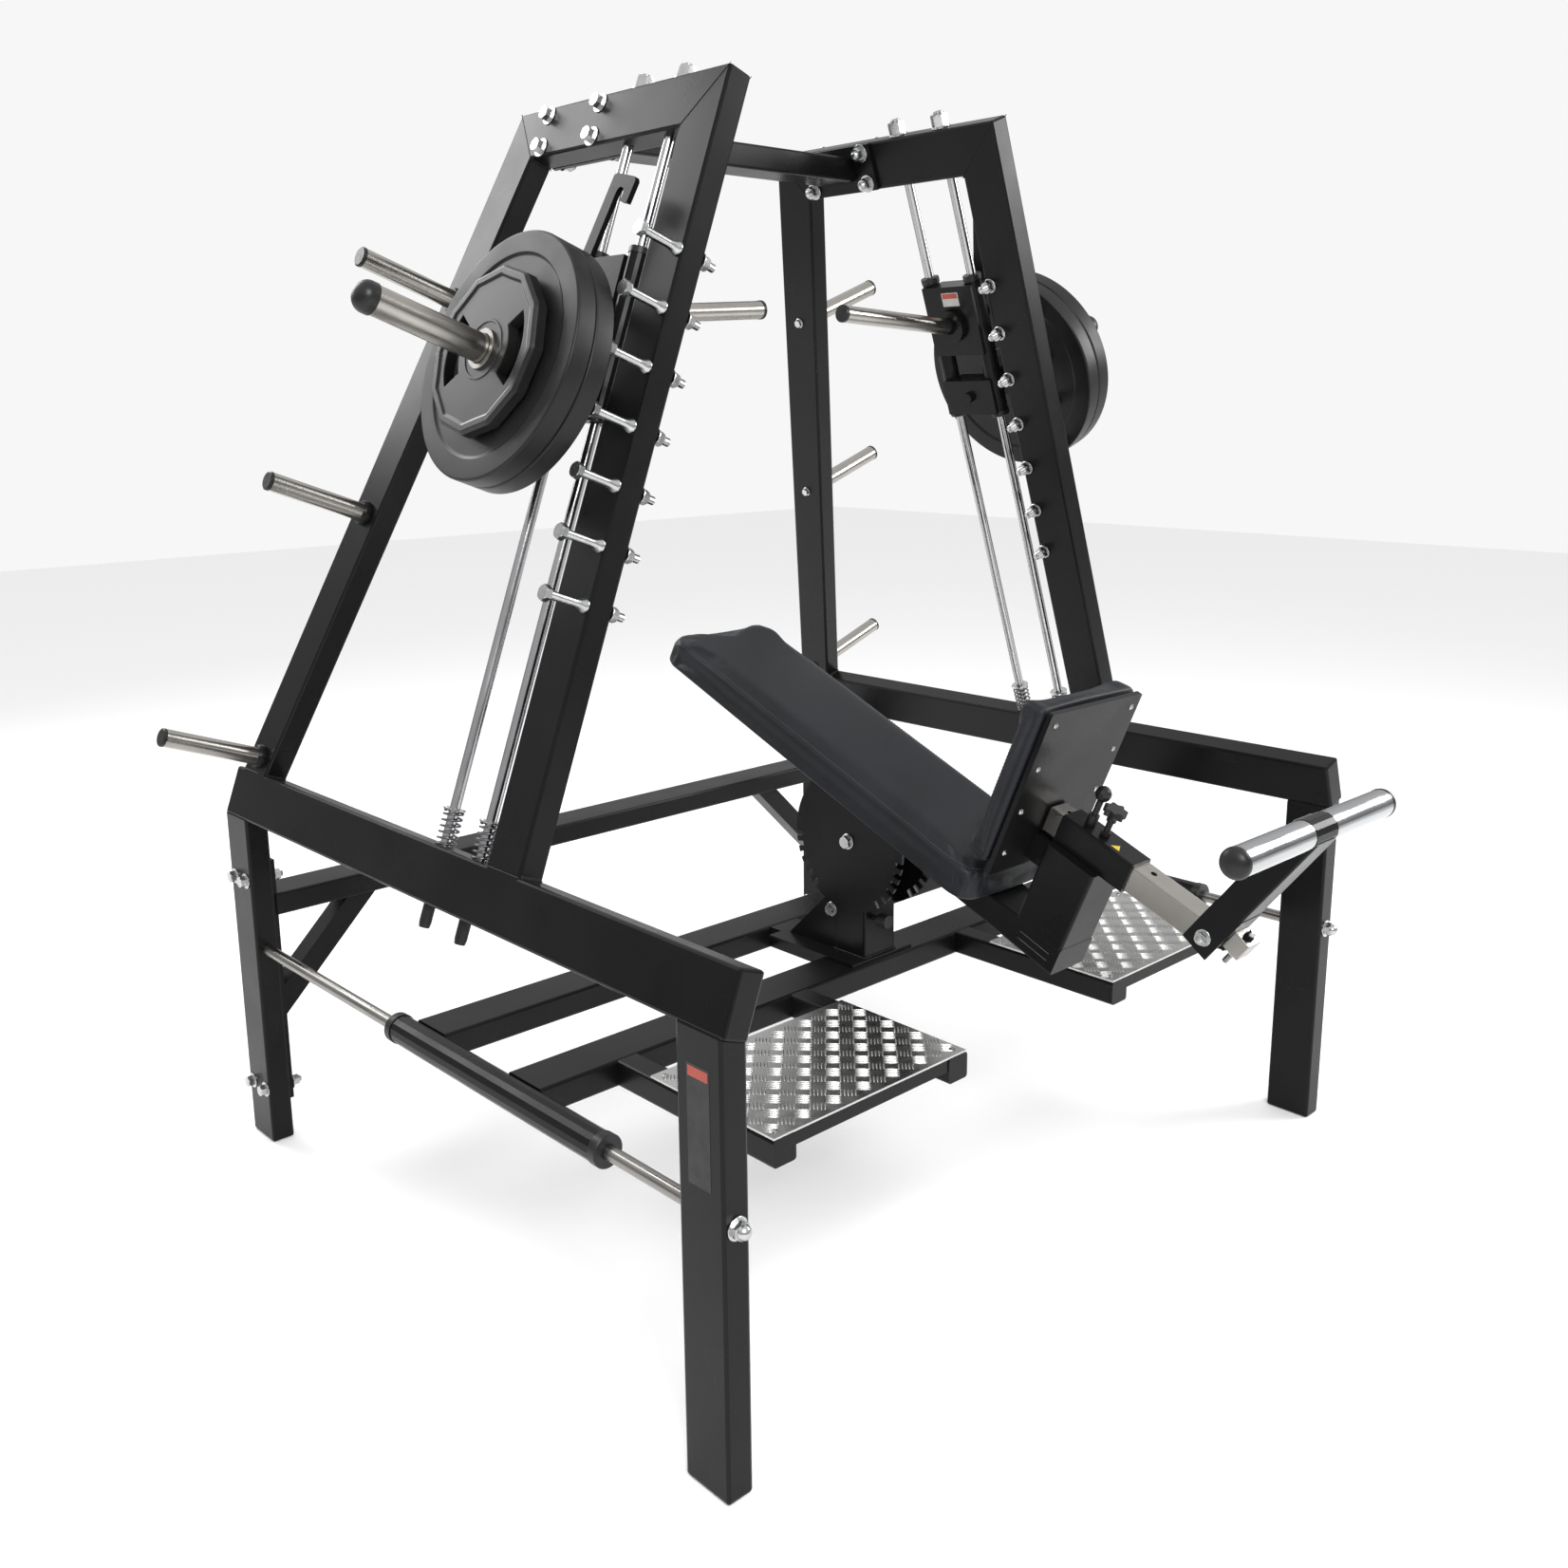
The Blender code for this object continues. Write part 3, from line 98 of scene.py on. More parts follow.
studio_links.new(backdrop.outputs["Background"], either.inputs[2])
studio_links.new(either.outputs["Shader"], studio_nodes["World Output"].inputs["Surface"])
bpy.context.scene.world = world
bpy.context.scene.view_settings.view_transform = "Standard"

for name, place, size, power in (
    ("key", (-2.6, -3.6, 4.2), 2.2, 190),
    ("side", (3.6, -2.4, 3.0), 1.6, 110),
    ("back", (-1.0, 4.0, 3.6), 2.2, 120),
):
    lamp = bpy.data.objects.new(name, bpy.data.lights.new(name, "AREA"))
    lamp.data.size = size
    lamp.data.energy = power
    lamp.location = place
    lamp.rotation_euler = (Vector((0, 0, 0.9)) - Vector(place)).to_track_quat("-Z", "Y").to_euler()
    bpy.context.scene.collection.objects.link(lamp)

floor_shape = bmesh.new()
bmesh.ops.create_grid(floor_shape, x_segments=1, y_segments=1, size=14.0)
floor_mesh = bpy.data.meshes.new("floor")
floor_shape.to_mesh(floor_mesh)
floor_shape.free()
floor = bpy.data.objects.new("floor", floor_mesh)
floor.location.z = -0.001
bpy.context.scene.collection.objects.link(floor)
pale = bpy.data.materials.new("pale_floor")
pale.use_nodes = True
pale.node_tree.nodes["Principled BSDF"].inputs["Base Color"].default_value = (0.97, 0.97, 0.97, 1.0)
pale.node_tree.nodes["Principled BSDF"].inputs["Roughness"].default_value = 0.65
floor.data.materials.append(pale)

# ---------------------------------------------------------------- black powder coat
# The welded steel: satin black polyester powder, baked on. It has a fine orange-peel skin, and a
# little dust makes it paler and duller in places.


def start_material(name, colour, roughness, metallic=0.0):
    material = bpy.data.materials.new(name)
    material.use_nodes = True
    shader = material.node_tree.nodes["Principled BSDF"]
    shader.inputs["Base Color"].default_value = (*colour, 1.0)
    shader.inputs["Roughness"].default_value = roughness
    shader.inputs["Metallic"].default_value = metallic
    return material, shader, material.node_tree


def noise(tree, scale, detail, stretch=None):
    place = tree.nodes.new("ShaderNodeTexCoord")
    texture = tree.nodes.new("ShaderNodeTexNoise")
    texture.inputs["Scale"].default_value = scale
    texture.inputs["Detail"].default_value = detail
    if stretch:
        mapping = tree.nodes.new("ShaderNodeMapping")
        mapping.inputs["Scale"].default_value = stretch
        tree.links.new(place.outputs["Object"], mapping.inputs["Vector"])
        tree.links.new(mapping.outputs["Vector"], texture.inputs["Vector"])
    else:
        tree.links.new(place.outputs["Object"], texture.inputs["Vector"])
    return texture.outputs["Fac"]


def ramp(tree, source, stops, target):
    node = tree.nodes.new("ShaderNodeValToRGB")
    for element, (position, colour) in zip(node.color_ramp.elements, stops):
        element.position = position
        element.color = colour
    tree.links.new(source, node.inputs["Fac"])
    tree.links.new(node.outputs["Color"], target)


def bumped(tree, shader, strength, distance):
    bump = tree.nodes.new("ShaderNodeBump")
    bump.inputs["Strength"].default_value = strength
    bump.inputs["Distance"].default_value = distance
    tree.links.new(bump.outputs["Normal"], shader.inputs["Normal"])
    return bump.inputs["Height"]


def grey(value):
    return (value, value, value, 1.0)


def tinted(colour, share):
    return (*[min(1.0, part * share) for part in colour], 1.0)


def powder_coat(name, shade=0.0045):
    material, shader, tree = start_material(name, (shade, shade, shade * 1.06), 0.36)
    shader.inputs["Specular IOR Level"].default_value = 0.16
    dust = noise(tree, 2.6, 6.0)
    ramp(tree, dust, (
        (0.38, (shade * 0.85, shade * 0.86, shade * 0.9, 1.0)),
        (0.72, (shade * 1.5, shade * 1.5, shade * 1.55, 1.0))), shader.inputs["Base Color"])
    cloud = noise(tree, 7.0, 5.0)
    ramp(tree, cloud, ((0.3, grey(0.24)), (0.75, grey(0.36))), shader.inputs["Roughness"])
    peel = noise(tree, 420.0, 2.0)
    tree.links.new(peel, bumped(tree, shader, 0.10, 0.0006))
    return material


frame_coat = powder_coat("black_powder_coat")


def dress(node, material):
    item = frame["nodes"][node]
    item.data.materials.clear()
    item.data.materials.append(material)
    item.data.shade_smooth()
    item.data.set_sharp_from_angle(angle=math.radians(25))


for node in ("side_frame_left", "side_frame_right", "top_crossbar", "rear_cross_frame", "sled", "pedestal",
             "bench_frame", "foot_arm"):
    dress(node, frame_coat)

# ---------------------------------------------------------------- fasteners
# Zinc-plated hexagon bolts, washers and nuts, turned and pressed. Every one is a real profile:
# a chamfered head, a flat washer, a nut and the last threads of the bolt.


def zinc(name, colour=(0.50, 0.51, 0.50), rough=0.24):
    material, shader, tree = start_material(name, colour, rough, 1.0)
    film = noise(tree, 60.0, 4.0)
    ramp(tree, film, ((0.3, tinted(colour, 0.86)), (0.8, tinted(colour, 1.08))), shader.inputs["Base Color"])
    haze = noise(tree, 24.0, 3.0)
    ramp(tree, haze, ((0.3, grey(rough * 0.8)), (0.75, grey(rough * 1.35))), shader.inputs["Roughness"])
    grit = noise(tree, 700.0, 2.0)
    tree.links.new(grit, bumped(tree, shader, 0.06, 0.0003))
    return material


zinc_plate = zinc("zinc_plate")


def set_down(start, way):
    turn = way.normalized().to_track_quat("Z", "Y").to_matrix().to_4x4()
    turn.translation = start
    return turn


def turned(name, start, way, profile, material, body, steps=40, sharp=32):
    """A turned piece along a line: profile is (distance, radius) pairs; radius 0 closes an end."""
    angles = [2 * math.pi * k / steps for k in range(steps)]
    shape = bmesh.new()
    rings = []
    for distance, radius in profile:
        if radius == 0.0:
            rings.append([shape.verts.new((0.0, 0.0, distance))])
        else:
            rings.append([
                shape.verts.new((radius * math.cos(angle), radius * math.sin(angle), distance))
                for angle in angles
            ])
    for below, above in zip(rings, rings[1:]):
        for k in range(steps):
            corners = [below[k % len(below)], below[(k + 1) % len(below)],
                       above[(k + 1) % len(above)], above[k % len(above)]]
            shape.faces.new(list(dict.fromkeys(corners)))
    shape.transform(set_down(start, way))
    return piece_from(name, shape, material, body, sharp)


def piece_from(name, shape, material, body, sharp=32):
    bmesh.ops.recalc_face_normals(shape, faces=shape.faces)
    mesh = bpy.data.meshes.new(name)
    shape.to_mesh(mesh)
    shape.free()
    mesh.shade_smooth()
    mesh.set_sharp_from_angle(angle=math.radians(sharp))
    mesh.materials.append(material)
    item = bpy.data.objects.new(name, mesh)
    bpy.context.scene.collection.objects.link(item)
    flats = item.modifiers.new("flats", "WEIGHTED_NORMAL")
    flats.keep_sharp = True
    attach(item, body)
    return item


def hexagon(name, start, way, across, thick, body):
    """A six-sided head or nut with chamfered corners."""
    sixth, steps = math.pi / 3, 24
    shape = bmesh.new()
    radius = across / 2 / math.cos(sixth / 2)
    rings = []
    for height, share in ((0.0, 0.94), (thick * 0.12, 1.0), (thick * 0.86, 1.0), (thick, 0.90)):
        ring = []
        for k in range(steps):
            angle = 2 * math.pi * k / steps
            flat = across / 2 / math.cos((angle + sixth / 2) % sixth - sixth / 2)
            reach = min(flat, radius * share)
            ring.append(shape.verts.new((reach * math.cos(angle), reach * math.sin(angle), height)))
        rings.append(ring)
    for below, above in zip(rings, rings[1:]):
        for k in range(steps):
            after = (k + 1) % steps
            shape.faces.new((below[k], below[after], above[after], above[k]))
    shape.faces.new(list(reversed(rings[0])))
    shape.faces.new(rings[-1])
    shape.transform(set_down(start, way))
    piece_from(name, shape, zinc_plate, body, 20)


def washer(name, start, way, radius, hole, thick, body):
    edge = 0.0006
    section = [(0.0, hole), (0.0, radius - edge), (edge, radius), (thick - edge, radius),
               (thick, radius - edge), (thick, hole), (0.0, hole)]
    turned(name, start, way, section, zinc_plate, body, 36)


def thread(name, start, way, radius, long, body):
    """The bare end of a bolt, with a ring for each turn of its thread."""
    profile = [(0.0, radius * 0.9)]
    turns = max(3, int(long / 0.002))
    for k in range(turns):
        profile += [(long * (k + 0.35) / turns, radius), (long * (k + 0.85) / turns, radius * 0.88)]
    profile += [(long, radius * 0.82), (long + 0.0008, radius * 0.7), (long + 0.0008, 0.0)]
    turned(name, start, way, profile, zinc_plate, body, 24, 50)


def bolted(name, outer, way, through, body, across):
    """A through bolt: head and washer on one face, washer, nut and thread on the other."""
    rim, bore, thick = across * 0.78, across * 0.3, 0.0024
    seat, nut = 0.0022, across * 0.66
    far = outer + way * through
    washer(name + "_washer_a", outer, -way, rim, bore, thick, body)
    hexagon(name + "_head", outer - way * seat, -way, across, across * 0.62, body)
    washer(name + "_washer_b", far, way, rim, bore, thick, body)
    hexagon(name + "_nut", far + way * seat, way, across, nut, body)
    thread(name + "_end", far + way * (nut + 0.0015), way, across * 0.315, 0.007, body)


# Each side frame leans in its own plane: t runs inwards from its outer face, u to the back,
# and v up the plane.
TUBE = 0.050
HANDLE_U = -0.040
HANDLE_V = 1.113
BACK = Vector((0.0, 1.0, 0.0))
joints = {joint["name"]: joint for joint in frame["joints"]}
planes = {}
for word in ("left", "right"):
    up = Vector(joints[f"carriage_{word}_slide"]["axis"]).normalized()
    axis = Vector(joints[f"handle_{word}_turn"]["axis"]).normalized()
    planes[word] = (Vector(joints[f"handle_{word}_turn"]["pos_m"]), axis if word == "left" else -axis, up)


def on_side(word, t, u, v):
    origin, inwards, up = planes[word]
    return origin + inwards * t + BACK * (u - HANDLE_U) + up * (v - HANDLE_V)


# Four bolts a side hold the crossbar's flanges. The rear bar's end plates are bolted through the
# rear legs, two bolts high and two low.
FLANGE = 0.008
THROUGH = TUBE + FLANGE + 0.0003
SIDES = (("left", -1), ("right", 1))
for word in ("left", "right"):
    for u in (0.108, 0.273):
        for v in (1.442, 1.507):
            bolted(f"crossbar_bolt_{word}_{round(u * 1000)}_{round(v * 1000)}",
                   on_side(word, 0.0, u, v), planes[word][1], THROUGH, "base", 0.024)

leg_low, leg_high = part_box("side_frame_left")
for word, sign in SIDES:
    for offset, height in ((-0.078, 0.610), (-0.026, 0.610), (-0.086, 0.125), (-0.022, 0.125)):
        start = Vector((-sign * leg_low.x, leg_high.y + offset, height))
        bolted(f"leg_bolt_{word}_{round(-offset * 1000)}_{round(height * 1000)}",
               start, Vector((-sign, 0, 0)), THROUGH, "base", 0.022)

# ---------------------------------------------------------------- safety pegs
# Long zinc bolts right through the front uprights. The hooks drop over their bare shanks, so each
# has a flared seat welded against the tube and a hexagon head that keeps the hook on.
PEG_OUT = 0.090
PEG_HEAD = 0.012
PEG_SHANK = 0.0080
PEG_TOP_V = 1.195
PEG_PITCH = 0.104
peg_lines = {"left": -0.2405, "right": -0.1645}
peg_profile = [
    (0.0006, 0.0), (0.0006, 0.0128), (0.0022, 0.0131), (0.0048, 0.0128), (0.0100, 0.0098),
    (0.0160, 0.0086), (0.0240, PEG_SHANK), (PEG_OUT - PEG_HEAD, PEG_SHANK), (PEG_OUT - PEG_HEAD, 0.0),
]
for word in ("left", "right"):
    inwards = planes[word][1]
    for index in range(1, 8):
        base = on_side(word, 0.0, peg_lines[word], PEG_TOP_V - PEG_PITCH * (index - 1))
        shank = turned(f"peg_shank_{word}_{index}", base, -inwards, peg_profile, zinc_plate, "base",
                       32)
        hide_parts(f"safety_peg_{index}_{word}")
        hexagon(f"peg_head_{word}_{index}", base - inwards * (PEG_OUT - PEG_HEAD), -inwards,
                0.0255, PEG_HEAD, "base")
        inside = base + inwards * TUBE
        washer(f"peg_washer_{word}_{index}", inside, inwards, 0.0155, PEG_SHANK, 0.0028, "base")
        hexagon(f"peg_nut_{word}_{index}", inside + inwards * 0.0026, inwards, 0.0240, 0.0130, "base")
        thread(f"peg_end_{word}_{index}", inside + inwards * 0.0150, inwards, 0.0078, 0.0180, "base")

# ---------------------------------------------------------------- storage horns
# Brushed stainless tube stubs for spare plates, closed with a black push-in cap. A black collar
# seats each one on the rear upright, and one bolt from inside holds it.


def brushed(name, colour=(0.37, 0.355, 0.33), rough=0.24):
    material, shader, tree = start_material(name, colour, rough, 1.0)
    shader.inputs["Anisotropic"].default_value = 0.45
    lines = noise(tree, 60.0, 2.0)
    handled = noise(tree, 11.0, 4.0)
    ramp(tree, handled, ((0.25, tinted(colour, 0.88)), (0.8, tinted(colour, 1.08))),
         shader.inputs["Base Color"])
    ramp(tree, lines, ((0.25, grey(rough * 0.92)), (0.8, grey(rough * 1.12))), shader.inputs["Roughness"])
    scratches = noise(tree, 260.0, 2.0)
    tree.links.new(scratches, bumped(tree, shader, 0.018, 0.0002))
    return material


def moulded(name, shade=0.010, rough=0.38):
    material, shader, tree = start_material(name, (shade, shade, shade), rough)
    shader.inputs["Specular IOR Level"].default_value = 0.32
    cloud = noise(tree, 30.0, 4.0)
    ramp(tree, cloud, ((0.3, grey(shade * 0.8)), (0.8, grey(shade * 1.7))), shader.inputs["Base Color"])
    ramp(tree, cloud, ((0.3, grey(rough * 0.85)), (0.8, grey(rough * 1.25))), shader.inputs["Roughness"])
    grain = noise(tree, 900.0, 2.0)
    tree.links.new(grain, bumped(tree, shader, 0.15, 0.0003))
    return material


stainless = brushed("brushed_stainless")
black_plastic = moulded("black_moulding")
HORN = 0.019
HORN_OUT = 0.220
HORN_BACK = 0.0523
REAR_TOP_U = 0.302
REAR_TOP_V = 1.4245
SLOPE = 0.3092


def rear_u(v):
    """Where the slanting rear upright begins at height v."""
    return REAR_TOP_U + (REAR_TOP_V - v) * SLOPE


mouth = HORN_OUT - 0.007
horn_tube = [(0.001, 0.0), (0.001, HORN), (mouth, HORN), (mouth, HORN - 0.002), (mouth, 0.0)]
horn_cap = [(mouth + 0.0002, 0.0), (mouth + 0.0002, HORN + 0.0006), (HORN_OUT - 0.002, HORN + 0.0006),
            (HORN_OUT, HORN - 0.002), (HORN_OUT, 0.0)]
horn_collar = [(0.0004, HORN), (0.0004, HORN + 0.0075), (0.009, HORN + 0.0065),
               (0.0135, HORN + 0.003), (0.0135, HORN)]
for word in ("left", "right"):
    inwards = planes[word][1]
    for index, v in ((1, 1.140), (2, 0.690), (3, 0.140)):
        base = on_side(word, 0.0, rear_u(v) + HORN_BACK, v)
        tube = turned(f"horn_tube_{word}_{index}", base, -inwards, horn_tube, stainless, "base")
        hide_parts(f"storage_horn_{index}_{word}")
        turned(f"horn_cap_{word}_{index}", base, -inwards, horn_cap, black_plastic, "base")
        turned(f"horn_collar_{word}_{index}", base, -inwards, horn_collar, frame_coat, "base")
        inside = base + inwards * TUBE
        washer(f"horn_washer_{word}_{index}", inside, inwards, 0.0115, 0.006, 0.002, "base")
        hexagon(f"horn_bolt_{word}_{index}", inside + inwards * 0.0018, inwards, 0.0165, 0.0075, "base")

# ---------------------------------------------------------------- guide rods and bumper springs
# Hard chromed bar, ground and polished, through both beams of each side frame. A heavy nut locks each
# one on top, and an open coil spring under a washer stops the carriage at the bottom.


def chrome(name, colour=(0.44, 0.44, 0.45), rough=0.16):
    material, shader, tree = start_material(name, colour, rough, 1.0)
    film = noise(tree, 12.0, 5.0)
    ramp(tree, film, ((0.3, grey(rough * 0.7)), (0.8, grey(rough * 2.0))), shader.inputs["Roughness"])
    oil = noise(tree, 5.0, 3.0)
    ramp(tree, oil, ((0.3, tinted(colour, 0.9)), (0.7, tinted(colour, 1.0))), shader.inputs["Base Color"])
    tree.links.new(film, bumped(tree, shader, 0.02, 0.0003))
    return material


rod_chrome = chrome("hard_chrome")
spring_steel = zinc("spring_steel", (0.14, 0.14, 0.145), 0.32)
ROD = 0.010
ROD_PLACES = (("rear", 0.020), ("front", -0.100))
BEAM_TOP_V = 0.105
FRAME_TOP_V = 1.5245
ROD_TIP = FRAME_TOP_V + 0.034
SPRING_TURNS = 6.5
SPRING_STEPS = 22
SPRING_TALL = 0.064
SPRING_REACH = 0.0172
WIRE = 0.0021


def shown(item):
    """The mesh that a curve or a piece's modifiers make."""
    return bpy.data.meshes.new_from_object(item.evaluated_get(bpy.context.evaluated_depsgraph_get()))


def wire(name, points, radius, material, body, sides):
    curve = bpy.data.curves.new(name, "CURVE")
    curve.dimensions = "3D"
    curve.bevel_depth = radius
    curve.bevel_resolution = sides
    curve.use_fill_caps = True
    spline = curve.splines.new("POLY")
    spline.points.add(len(points) - 1)
    for target, point in zip(spline.points, points):
        target.co = (*point, 1.0)
    item = bpy.data.objects.new(name, curve)
    bpy.context.scene.collection.objects.link(item)
    bpy.context.view_layer.update()
    mesh = shown(item)
    bpy.data.objects.remove(item, do_unlink=True)
    shape = bmesh.new()
    shape.from_mesh(mesh)
    bmesh.ops.remove_doubles(shape, verts=shape.verts, dist=1e-6)
    return piece_from(name, shape, material, body, 60)


rod_profile = [(-0.030, 0.0), (-0.030, ROD - 0.001), (-0.029, ROD), (ROD_TIP - 0.002, ROD),
               (ROD_TIP, ROD - 0.002), (ROD_TIP, 0.0)]
stub_profile = [(0.0004, 0.0), (0.0004, 0.0112), (0.036, 0.0112), (0.045, 0.0095), (0.045, 0.0)]
for word in ("left", "right"):
    inwards, up = planes[word][1:]
    for end, u in ROD_PLACES:
        foot = on_side(word, TUBE / 2, u, 0.0)
        bar = turned(f"rod_{end}_{word}", foot, up, rod_profile, rod_chrome, "base")
        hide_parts(f"guide_rod_{end}_{word}")
        crown = on_side(word, TUBE / 2, u, FRAME_TOP_V)
        washer(f"rod_washer_{end}_{word}", crown + up * 0.0004, up, 0.0205, ROD, 0.0030, "base")
        hexagon(f"rod_nut_{end}_{word}", crown + up * 0.0034, up, 0.0310, 0.0250, "base")
        turned(f"rod_stub_{end}_{word}", foot, -up, stub_profile, black_plastic, "base")
        low = on_side(word, TUBE / 2, u, BEAM_TOP_V)
        coil = []
        for k in range(int(SPRING_TURNS * SPRING_STEPS) + 1):
            angle = 2 * math.pi * k / SPRING_STEPS
            share = k / (SPRING_TURNS * SPRING_STEPS)
            lift = 0.003 + (SPRING_TALL - 0.003) * min(1.0, max(0.0, (share - 0.07) / 0.86))
            reach = inwards * SPRING_REACH * math.cos(angle) + BACK * SPRING_REACH * math.sin(angle)
            coil.append(low + up * lift + reach)
        spring = wire(f"spring_{end}_{word}", coil, WIRE, spring_steel, "base", 3)
        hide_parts(f"bumper_spring_{end}_{word}")
        washer(f"spring_washer_{end}_{word}", low + up * 0.0665, up, 0.0208, ROD + 0.0008, 0.0036, "base")

# ---------------------------------------------------------------- rails
# Ground steel bars along each side, bolted up in front with a washer and a domed nut.
# The sled's four sleeves run on them; each sleeve ends in a black plastic wiper ring.
RAIL = 0.0125
SLEEVE = 0.0275
rail_steel = chrome("rail_steel", (0.27, 0.26, 0.245), 0.22)


def domed(start, tall, radius, steps):
    """The rounded end of a turned profile, closed at its tip."""
    points = []
    for k in range(1, steps + 1):
        turn = math.pi / 2 * k / steps
        points.append((start + tall * math.sin(turn), radius * math.cos(turn) if k < steps else 0.0))
    return points


sled_low, sled_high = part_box("sled")
rail_nut = [(0.0145, 0.0125)] + domed(0.0145, 0.0125, 0.0125, 8)
wiper = [(-0.016, SLEEVE + 0.0002), (-0.016, SLEEVE + 0.0016), (0.001, SLEEVE + 0.0016), (0.003, SLEEVE),
         (0.003, RAIL + 0.0008), (-0.004, RAIL + 0.0008)]
for word in ("left", "right"):
    low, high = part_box(f"rail_{word}")
    x, z = (low.x + high.x) / 2, (low.z + high.z) / 2
    start = Vector((x, leg_low.y + 0.005, z))
    long = high.y - start.y + 0.010
    bar = turned(f"rail_bar_{word}", start - BACK * 0.010, BACK,
                 [(0.0, 0.0), (0.0, RAIL), (long, RAIL), (long, 0.0)], rail_steel, "base")
    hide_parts(f"rail_{word}")
    washer(f"rail_washer_{word}", start, -BACK, 0.0190, 0.009, 0.0030, "base")
    hexagon(f"rail_nut_{word}", start - BACK * 0.0030, -BACK, 0.0270, 0.0120, "base")
    turned(f"rail_dome_{word}", start, -BACK, rail_nut, zinc_plate, "base")
    for end, y, way in (("front", sled_low.y + 0.195, -1), ("rear", sled_high.y, 1)):
        turned(f"wiper_{end}_{word}", Vector((x, y, z)), Vector((0, way, 0)), wiper, black_plastic,
               "sled")

# ---------------------------------------------------------------- carriages
# Two bearing tubes joined by welded bridges, with a black seal ring at each end. The lower bridge
# carries a brushed stainless loading sleeve with a domed black cap.
LOAD_U = -0.046
LOAD_V = 0.948
LOAD = 0.025
LOAD_SKIN = LOAD + 0.0004
LOAD_CAP = LOAD + 0.0022
LOAD_OUT = 0.420
PLATES_OUT = 0.094
BEARING = 0.0192
carriage_coat = powder_coat("carriage_coat", 0.0050)
load_sleeve = [(PLATES_OUT, LOAD), (PLATES_OUT, LOAD_SKIN), (LOAD_OUT - 0.002, LOAD_SKIN),
               (LOAD_OUT + 0.0005, LOAD - 0.001), (LOAD_OUT + 0.0005, 0.0)]
load_cap = [(LOAD_OUT - 0.012, LOAD_SKIN), (LOAD_OUT - 0.012, LOAD_CAP), (LOAD_OUT - 0.002, LOAD_CAP)]
load_cap += domed(LOAD_OUT - 0.002, 0.023, LOAD_CAP, 10)
seal = [(-0.010, BEARING), (-0.010, BEARING + 0.0011), (0.0008, BEARING + 0.0011), (0.0020, BEARING),
        (0.0020, ROD + 0.0008), (0.0, ROD + 0.0008)]
for word in ("left", "right"):
    dress(f"carriage_{word}", carriage_coat)
    inwards, up = planes[word][1:]
    body = f"carriage_{word}"
    root = on_side(word, 0.0, LOAD_U, LOAD_V)
    turned(f"load_sleeve_{word}", root, -inwards, load_sleeve, stainless, body, 56)
    turned(f"load_cap_{word}", root, -inwards, load_cap, black_plastic, body, 48)
    for end, u in ROD_PLACES:
        for v, way in ((1.215, 1), (0.898, -1)):
            turned(f"seal_{word}_{round(u * 1000)}_{round(v * 1000)}", on_side(word, TUBE / 2, u, v),
                   up * way, seal, black_plastic, body)

# ---------------------------------------------------------------- handles
# Each handle is one welded piece: a stainless grip inside the frame, a shaft through the carriage,
# and the flat black safety hook outside. The grip ends in a flat black plug.
RISE = math.radians(24.1)
GRIP = 0.017
GRIP_START = 0.066
GRIP_LONG = 0.340
handle_coat = powder_coat("handle_coat", 0.0050)
for word in ("left", "right"):
    dress(f"handle_{word}", handle_coat)
    inwards, up = planes[word][1:]
    body = f"handle_{word}"
    face = on_side(word, GRIP_START, HANDLE_U, HANDLE_V)
    tip = face + inwards * GRIP_LONG * math.cos(RISE) + up * GRIP_LONG * math.sin(RISE)
    start = face - inwards * 0.012 + inwards * GRIP * math.sin(RISE)
    way = (tip - start).normalized()
    long = (tip - start).length
    grip = [(0.016, GRIP), (0.016, GRIP + 0.0005), (long - 0.005, GRIP + 0.0005), (long - 0.005, GRIP)]
    turned(f"grip_{word}", start, way, grip, stainless, body, 48)
    plug = [(long - 0.0052, GRIP), (long - 0.0052, GRIP + 0.0012), (long + 0.001, GRIP + 0.0012),
            (long + 0.003, GRIP - 0.001), (long + 0.003, 0.0)]
    turned(f"grip_plug_{word}", start, way, plug, black_plastic, body, 40)

# ---------------------------------------------------------------- weight plates
# Two rubber-coated discs and a small twelve-sided grip plate on each sleeve. The discs are cast iron
# in a thick matte rubber skin with raised rims; each has a steel bush.


def rubber(name, shade=0.0062, rough=0.44):
    material, shader, tree = start_material(name, (shade, shade, shade), rough)
    shader.inputs["Specular IOR Level"].default_value = 0.30
    cloud = noise(tree, 9.0, 7.0)
    ramp(tree, cloud, ((0.32, grey(shade * 0.8)), (0.78, grey(shade * 2.1))), shader.inputs["Base Color"])
    ramp(tree, cloud, ((0.3, grey(rough * 0.8)), (0.75, grey(rough * 1.2))), shader.inputs["Roughness"])
    grain = noise(tree, 520.0, 3.0)
    tree.links.new(grain, bumped(tree, shader, 0.22, 0.0005))
    return material


